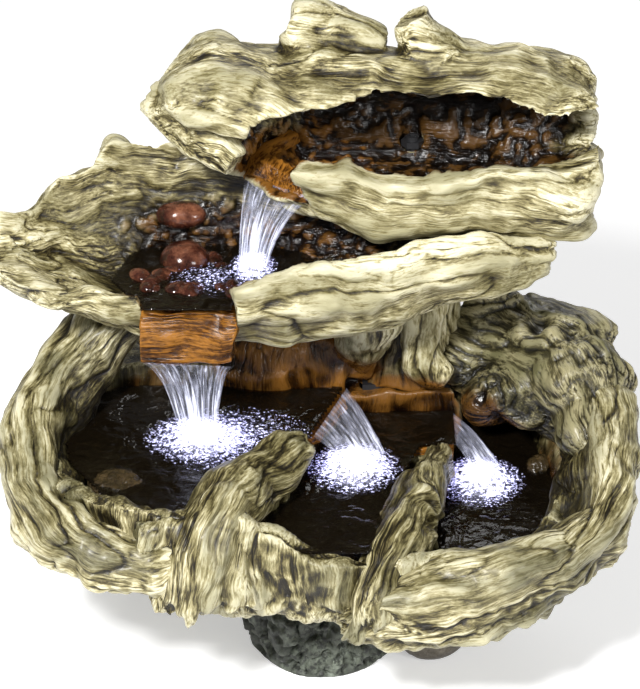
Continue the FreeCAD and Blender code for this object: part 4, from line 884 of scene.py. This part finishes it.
def makeWater(name, look):
    material, tree, shader = newMaterial(name)
    setSockets(shader, {"Base Color": (*look["colour"], 1), "Roughness": look["rough"],
                        "IOR": look["bending"], "Specular IOR Level": 0.35, "Alpha": look["alpha"],
                        "Coat Weight": look["coat"], "Coat Roughness": 0.03})
    ripple = objectNoise(tree, Scale=look["rippleScale"], Detail=2.0, Roughness=0.5, Distortion=1.2)
    addBump(tree, shader, ripple, "Fac", strength=look["ripple"], distance=0.004)
    return material


poolWater = makeWater("poolWater", {
    "colour": (0.006, 0.004, 0.002), "rough": 0.05, "bending": 1.33, "alpha": 0.78, "coat": 0.03,
    "rippleScale": 48, "ripple": 0.8})

poolLooks = {  # level and outline of each pool, mm; the outline ends inside the walls
    "bowlWater": (375, [(-196, 0), (-180, -30), (-166, -40), (-164, -62), (-80, -62), (-78, -40), (-40, -36),
                        (-8, -24), (2, 20), (-10, 56), (-60, 78), (-130, 78), (-180, 60)]),
    "leftPool": (225, [(-56, -64), (-112, -190), (-150, -185), (-200, -140), (-235, -80), (-245, -20),
                       (-235, 40), (-190, 66), (-150, 70), (-20, 62), (24, 66), (-20, -62)]),
    "centrePool": (197, [(-72, -196), (-20, -64), (24, 64), (132, 68), (132, 2), (96, -2), (46, -196)]),
    "rightPool": (160, [(134, 66), (134, 4), (84, -180), (150, -176), (202, -140), (228, -80), (234, -10),
                        (228, 60), (212, 108), (140, 110)]),
}
poolGrid = {"cells": 110, "thick": 2 * mm, "waves": [(0.6 * mm, 0.014, 90), (0.5 * mm, 0.03, 91)]}


def insideOutline(points, outline):
    inside = np.zeros(len(points), bool)
    for (x0, y0), (x1, y1) in zip(outline, outline[1:] + outline[:1]):
        crosses = (y0 > points[:, 1]) != (y1 > points[:, 1])
        slope = (x1 - x0) / (y1 - y0 + 1e-9)
        inside ^= crosses & (points[:, 0] < x0 + slope * (points[:, 1] - y0))
    return inside


def pourPool(name, level, outline):
    low, high = np.min(outline, axis=0), np.max(outline, axis=0)
    centre, span = 0.5 * (low + high), float(max(high - low))
    piece = addShape(bpy.ops.mesh.primitive_grid_add, name, x_subdivisions=poolGrid["cells"],
                     y_subdivisions=poolGrid["cells"], size=span * mm,
                     location=[v * mm for v in (*centre, level)])
    applyPlace(piece)
    outside = ~insideOutline(readPoints(piece) / mm, outline)
    piece.data.vertices.foreach_set("select", outside)
    for edge in piece.data.edges:
        edge.select = False
    for face in piece.data.polygons:
        face.select = any(outside[v] for v in face.vertices)
    bpy.ops.object.mode_set(mode="EDIT")
    bpy.context.tool_settings.mesh_select_mode = (False, False, True)
    bpy.ops.mesh.delete(type="FACE")
    bpy.ops.object.mode_set(mode="OBJECT")
    co = readPoints(piece)
    co[:, 2] += layered(co, poolGrid["waves"])
    writePoints(piece, co)
    applyModifier(piece, "SOLIDIFY", thickness=poolGrid["thick"], offset=-1)
    settle(piece, poolWater)


for name, (level, outline) in poolLooks.items():
    pourPool(name, level, outline)


def makeFall(name, look):
    material, tree, shader = newMaterial(name)
    flow = addNode(tree, "Attribute", attribute_name="flow")
    streak = streakNoise(tree, flow, "Vector", look["streaks"], 4.0, 0.35)
    parts = addNode(tree, "SeparateXYZ")
    linkTo(tree, flow, "Vector", parts, "Vector")
    lower = makeSpan(tree, *look["thicken"], parts, "Y")
    thick = addNode(tree, "Math", operation="ADD")
    linkTo(tree, streak, "Fac", thick, 0)
    linkTo(tree, lower, "Result", thick, 1)
    alpha = makeRamp(tree, look["alpha"], thick, 0)
    linkTo(tree, alpha, "Color", shader, "Alpha")
    glow = makeRamp(tree, look["glow"], thick, 0)
    linkTo(tree, glow, "Color", shader, "Emission Color")
    setSockets(shader, {"Emission Strength": look["strength"], "Base Color": (0.75, 0.78, 0.9, 1),
                        "Roughness": 0.08, "IOR": look["bending"]})
    return material


fallWater = makeFall("fallWater", {
    "streaks": (26, 2.2, 1), "thicken": (-0.07, 0.09), "strength": 0.9, "bending": 1.33,
    "alpha": [(0.42, (0.04, 0.04, 0.04)), (0.56, (0.2, 0.2, 0.2)), (0.72, (0.8, 0.8, 0.8))],
    "glow": [(0.4, (0.02, 0.02, 0.05)), (0.55, (0.2, 0.2, 0.36)), (0.72, (0.92, 0.92, 1.0))]})

fallLooks = {  # top edge and landing line, mm, left to right as seen from the front
    "upperFall": {"top": [(-70, 53, 456), (-6, 5, 456)], "land": [(-76, 26, 376), (-50, 18, 376)],
                  "throw": 0.45},
    "middleFall": {"top": [(-163, -67, 322), (-82, -67, 318)], "land": [(-130, -52, 226), (-98, -50, 226)],
                   "throw": 0.3},
    "leftPoolFall": {"top": [(-6, -30, 223), (26, 64, 223)], "land": [(30, -58, 198), (62, -20, 198)],
                     "throw": 0.5},
    "centrePoolFall": {"top": [(131, 4, 195), (131, 64, 195)], "land": [(150, -10, 161), (176, 14, 161)],
                       "throw": 0.5},
}
fallGrid = {"across": 40, "down": 50, "thick": 1.2 * mm, "reach": 1.25, "waves": (9, 2.4), "finer": 2.3,
            "sway": 3.0, "swayFrom": 0.3, "shiver": 1.2}


def alongEdge(ends, share):
    return np.array(ends[0]) + share[:, None] * (np.array(ends[1]) - ends[0])


def hangFall(name, look):
    piece = addShape(bpy.ops.mesh.primitive_grid_add, name, x_subdivisions=fallGrid["across"],
                     y_subdivisions=fallGrid["down"], size=1)
    grid = readPoints(piece)
    across, down = grid[:, 0] + 0.5, 0.5 - grid[:, 1]
    top, land = alongEdge(look["top"], across), alongEdge(look["land"], across)
    co = top + (land - top) * (1 - (1 - down) ** fallGrid["reach"])[:, None]
    fallen = look["throw"] * down + (1 - look["throw"]) * down ** 2
    co[:, 2] = top[:, 2] + (land[:, 2] - top[:, 2]) * fallen
    flow = np.stack([across, down, np.zeros(len(co))], axis=1)
    field = flow * (*fallGrid["waves"], 1)
    sway = softNoise(field, 95) * fallGrid["sway"] * ease(down, 0, fallGrid["swayFrom"])
    co[:, 1] -= sway + fallGrid["shiver"] * softNoise(field * fallGrid["finer"], 96)
    writePoints(piece, co * mm)
    applyModifier(piece, "SOLIDIFY", thickness=fallGrid["thick"], offset=0)
    storeField(piece, "flow", np.tile(flow, (2, 1)))  # front and back sheet
    settle(piece, fallWater)


for name, look in fallLooks.items():
    hangFall(name, look)


def makeFoam(name, look):
    material, tree, shader = newMaterial(name)
    core = addNode(tree, "Attribute", attribute_name="core")
    bead = objectNoise(tree, Scale=look["beads"], Detail=2.0, Roughness=0.7)
    centred = makeSpan(tree, -look["sparkle"], look["sparkle"], bead, "Fac")
    lit = addNode(tree, "Math", operation="ADD", use_clamp=True)
    linkTo(tree, core, "Fac", lit, 0)
    linkTo(tree, centred, "Result", lit, 1)
    colour = makeRamp(tree, look["colours"], lit, 0)
    linkTo(tree, colour, "Color", shader, "Emission Color")
    alpha = makeRamp(tree, look["alpha"], lit, 0)
    linkTo(tree, alpha, "Color", shader, "Alpha")
    setSockets(shader, {"Emission Strength": look["strength"], "Base Color": (0.7, 0.72, 0.85, 1),
                        "Roughness": 0.15})
    return material


litFoam = makeFoam("litFoam", {
    "beads": 300, "sparkle": 1.3, "strength": 1.6,
    "colours": [(0.25, (0.01, 0.01, 0.04)), (0.45, (0.16, 0.15, 0.45)), (0.62, (0.55, 0.55, 1.0)),
                (0.8, white)],
    "alpha": [(0.3, (0.0, 0.0, 0.0)), (0.5, (0.55, 0.55, 0.55)), (0.7, white)]})

foamLooks = {  # centre and half sizes of the lit patch, mm, and how bright its middle is
    "bowlFoam": ((-63, 24, 376), (24, 34, 12), 1.15),
    # a faint glowing patch of painted glints, light reflected off the rippled water
    "bowlSparkle": ((-98, 0, 376), (46, 34, 5), 0.27),
    "leftFoam": ((-112, -38, 226), (56, 50, 12), 1.0),
    # a faint glowing patch of painted glints, light reflected off the rippled water
    "leftSparkle": ((-84, -40, 226), (78, 64, 4), 0.34),
    "centreFoam": ((33, -46, 198), (46, 50, 12), 1.12),
    "rightFoam": ((156, -8, 161), (44, 50, 12), 1.08),
}
foamShape = {"segments": 96, "rings": 64, "peak": 0.6, "under": 0.1, "lumps": 7, "finer": 2.7,
             "rough": (2.2, 1.4)}


def spreadFoam(name, centre, halves, bright):
    piece = addShape(bpy.ops.mesh.primitive_uv_sphere_add, name, segments=foamShape["segments"],
                     ring_count=foamShape["rings"], radius=1)
    ball = readPoints(piece)
    away = np.linalg.norm(ball[:, :2], axis=1)
    co = ball * np.array(halves)
    rise = np.maximum(1 - away, 0)
    peaked = co[:, 2] * rise ** foamShape["peak"]
    co[:, 2] = np.where(co[:, 2] > 0, peaked, co[:, 2] * foamShape["under"])
    spot = np.hstack([ball[:, :2] * foamShape["lumps"], np.zeros((len(ball), 1))])
    coarse, fine = foamShape["rough"]
    rough = softNoise(spot, 101) * coarse + softNoise(spot * foamShape["finer"], 102) * fine
    co[:, 2] += np.where(ball[:, 2] > 0, rough * rise, 0)
    writePoints(piece, (co + np.array(centre)) * mm)
    storeField(piece, "core", np.clip(bright * rise, 0, 1))
    settle(piece, litFoam)


for name, (centre, halves, bright) in foamLooks.items():
    spreadFoam(name, centre, halves, bright)


# works that stay as built: pump, door, fittings

def makeMoulded(name, look):
    material, tree, shader = newMaterial(name)
    grit = objectNoise(tree, look.get("stretch", (1, 1, 1)), Scale=look["scale"], Detail=4.0, Roughness=0.6)
    colour = makeRamp(tree, [(0.3, look["dark"]), (0.7, look["pale"])], grit, "Fac")
    linkTo(tree, colour, "Color", shader, "Base Color")
    rough = makeSpan(tree, *look["rough"], grit, "Fac")
    linkTo(tree, rough, "Result", shader, "Roughness")
    addBump(tree, shader, grit, "Fac", strength=look["bump"], distance=0.0004)
    setSockets(shader, {"Metallic": look.get("metal", 0.0), "Alpha": look.get("alpha", 1.0),
                        "Emission Strength": look.get("shine", 0.0), "Emission Color": (0.8, 0.86, 1.0, 1)})
    return material


workLooks = {  # slot: finish
    "steel": {"scale": 500, "stretch": (0.06, 1, 1), "dark": (0.42, 0.42, 0.43), "pale": (0.66, 0.66, 0.67),
              "rough": (0.22, 0.4), "bump": 0.12, "metal": 1.0},
    "black_plastic": {"scale": 900, "dark": (0.01, 0.01, 0.011), "pale": (0.022, 0.022, 0.024),
                      "rough": (0.38, 0.55), "bump": 0.2},
    "door_brown": {"scale": 260, "stretch": (1, 1, 0.12), "dark": (0.06, 0.048, 0.028),
                   "pale": (0.2, 0.168, 0.105), "rough": (0.45, 0.65), "bump": 0.7},
    "black_rubber": {"scale": 700, "dark": (0.01, 0.01, 0.01), "pale": (0.02, 0.02, 0.02),
                     "rough": (0.6, 0.8), "bump": 0.3},
    "rotor_white": {"scale": 800, "dark": (0.66, 0.66, 0.64), "pale": (0.74, 0.74, 0.72),
                    "rough": (0.35, 0.5), "bump": 0.15},
    "ceramic_white": {"scale": 600, "dark": (0.8, 0.8, 0.78), "pale": (0.86, 0.86, 0.84),
                      "rough": (0.12, 0.2), "bump": 0.05},
    "clear_hose": {"scale": 300, "dark": (0.55, 0.6, 0.62), "pale": (0.7, 0.74, 0.76), "rough": (0.1, 0.2),
                   "bump": 0.05, "alpha": 0.45},
    "board_green": {"scale": 500, "dark": (0.6, 0.66, 0.6), "pale": (0.72, 0.76, 0.72), "rough": (0.4, 0.6),
                    "bump": 0.1},
    "lens_clear": {"scale": 400, "dark": (0.8, 0.84, 0.9), "pale": (0.92, 0.95, 1.0), "rough": (0.06, 0.12),
                   "bump": 0.05, "alpha": 0.6, "shine": 2.0},
}
slotNodes = {}
for entry in frame["record"]["subparts"]:
    slotNodes.setdefault(entry["material_slot"], []).append(entry["node"])
for slotName, look in workLooks.items():
    finish = makeMoulded(slotName.title().replace("_", ""), look)
    for node in slotNodes[slotName]:
        nodes[node].data.materials.clear()
        nodes[node].data.materials.append(finish)
print("works finished")

# camera at the photo's viewing angle
cameraLook = {"aim": (0, 0, 0.3059), "lift": 28.0, "away": 2.6, "lens": 143.7}
lift = math.radians(cameraLook["lift"])
camera = bpy.data.objects.new("camera", bpy.data.cameras.new("camera"))
scene.collection.objects.link(camera)
aim = Vector(cameraLook["aim"])
camera.location = aim + cameraLook["away"] * Vector((0, -math.cos(lift), math.sin(lift)))
camera.rotation_euler = (aim - camera.location).to_track_quat("-Z", "Y").to_euler()
camera.data.lens = cameraLook["lens"]
camera.data.clip_end = 50
scene.camera = camera

# floor and light
floorLook = {"size": 14, "colour": (0.86, 0.86, 0.86, 1), "rough": 0.9, "glow": 0.45}
floor = addShape(bpy.ops.mesh.primitive_plane_add, "floor", size=floorLook["size"])
floorMaterial, tree, shader = newMaterial("paleFloor")
setSockets(shader, {"Base Color": floorLook["colour"], "Roughness": floorLook["rough"],
                    "Emission Color": (*white, 1)})
ray = addNode(tree, "LightPath")
seen = addNode(tree, "Math", operation="MAXIMUM")
linkTo(tree, ray, "Is Camera Ray", seen, 0)
linkTo(tree, ray, "Is Glossy Ray", seen, 1)
glow = addNode(tree, "Math", operation="MULTIPLY")
glow.inputs[1].default_value = floorLook["glow"]
linkTo(tree, seen, 0, glow, 0)
linkTo(tree, glow, 0, shader, "Emission Strength")
floor.data.materials.append(floorMaterial)

worldLook = {"light": 0.16, "backdrop": 1.0}
world = bpy.data.worlds.new("studio")
scene.world = world
world.use_nodes = True
tree = world.node_tree
ray = addNode(tree, "LightPath")
strength = makeSpan(tree, worldLook["light"], worldLook["backdrop"], ray, "Is Camera Ray")
linkTo(tree, strength, "Result", tree.nodes["Background"], "Strength")
tree.nodes["Background"].inputs["Color"].default_value = (*white, 1)

lightLooks = {  # place, power (W) and size
    "keyLight": ((-0.7, -1.9, 2.0), 98, 0.3),
    "fillLight": ((1.5, -1.9, 1.3), 22, 0.5),
    "backLight": ((0.5, 1.9, 1.9), 14, 1.0),
}
for name, (at, power, size) in lightLooks.items():
    lamp = bpy.data.lights.new(name, "AREA")
    lamp.energy = power
    lamp.size = size
    holder = bpy.data.objects.new(name, lamp)
    scene.collection.objects.link(holder)
    holder.location = at
    holder.rotation_euler = (aim - Vector(at)).to_track_quat("-Z", "Y").to_euler()
print("camera, floor and lights set")

scene.view_settings.view_transform = "Standard"
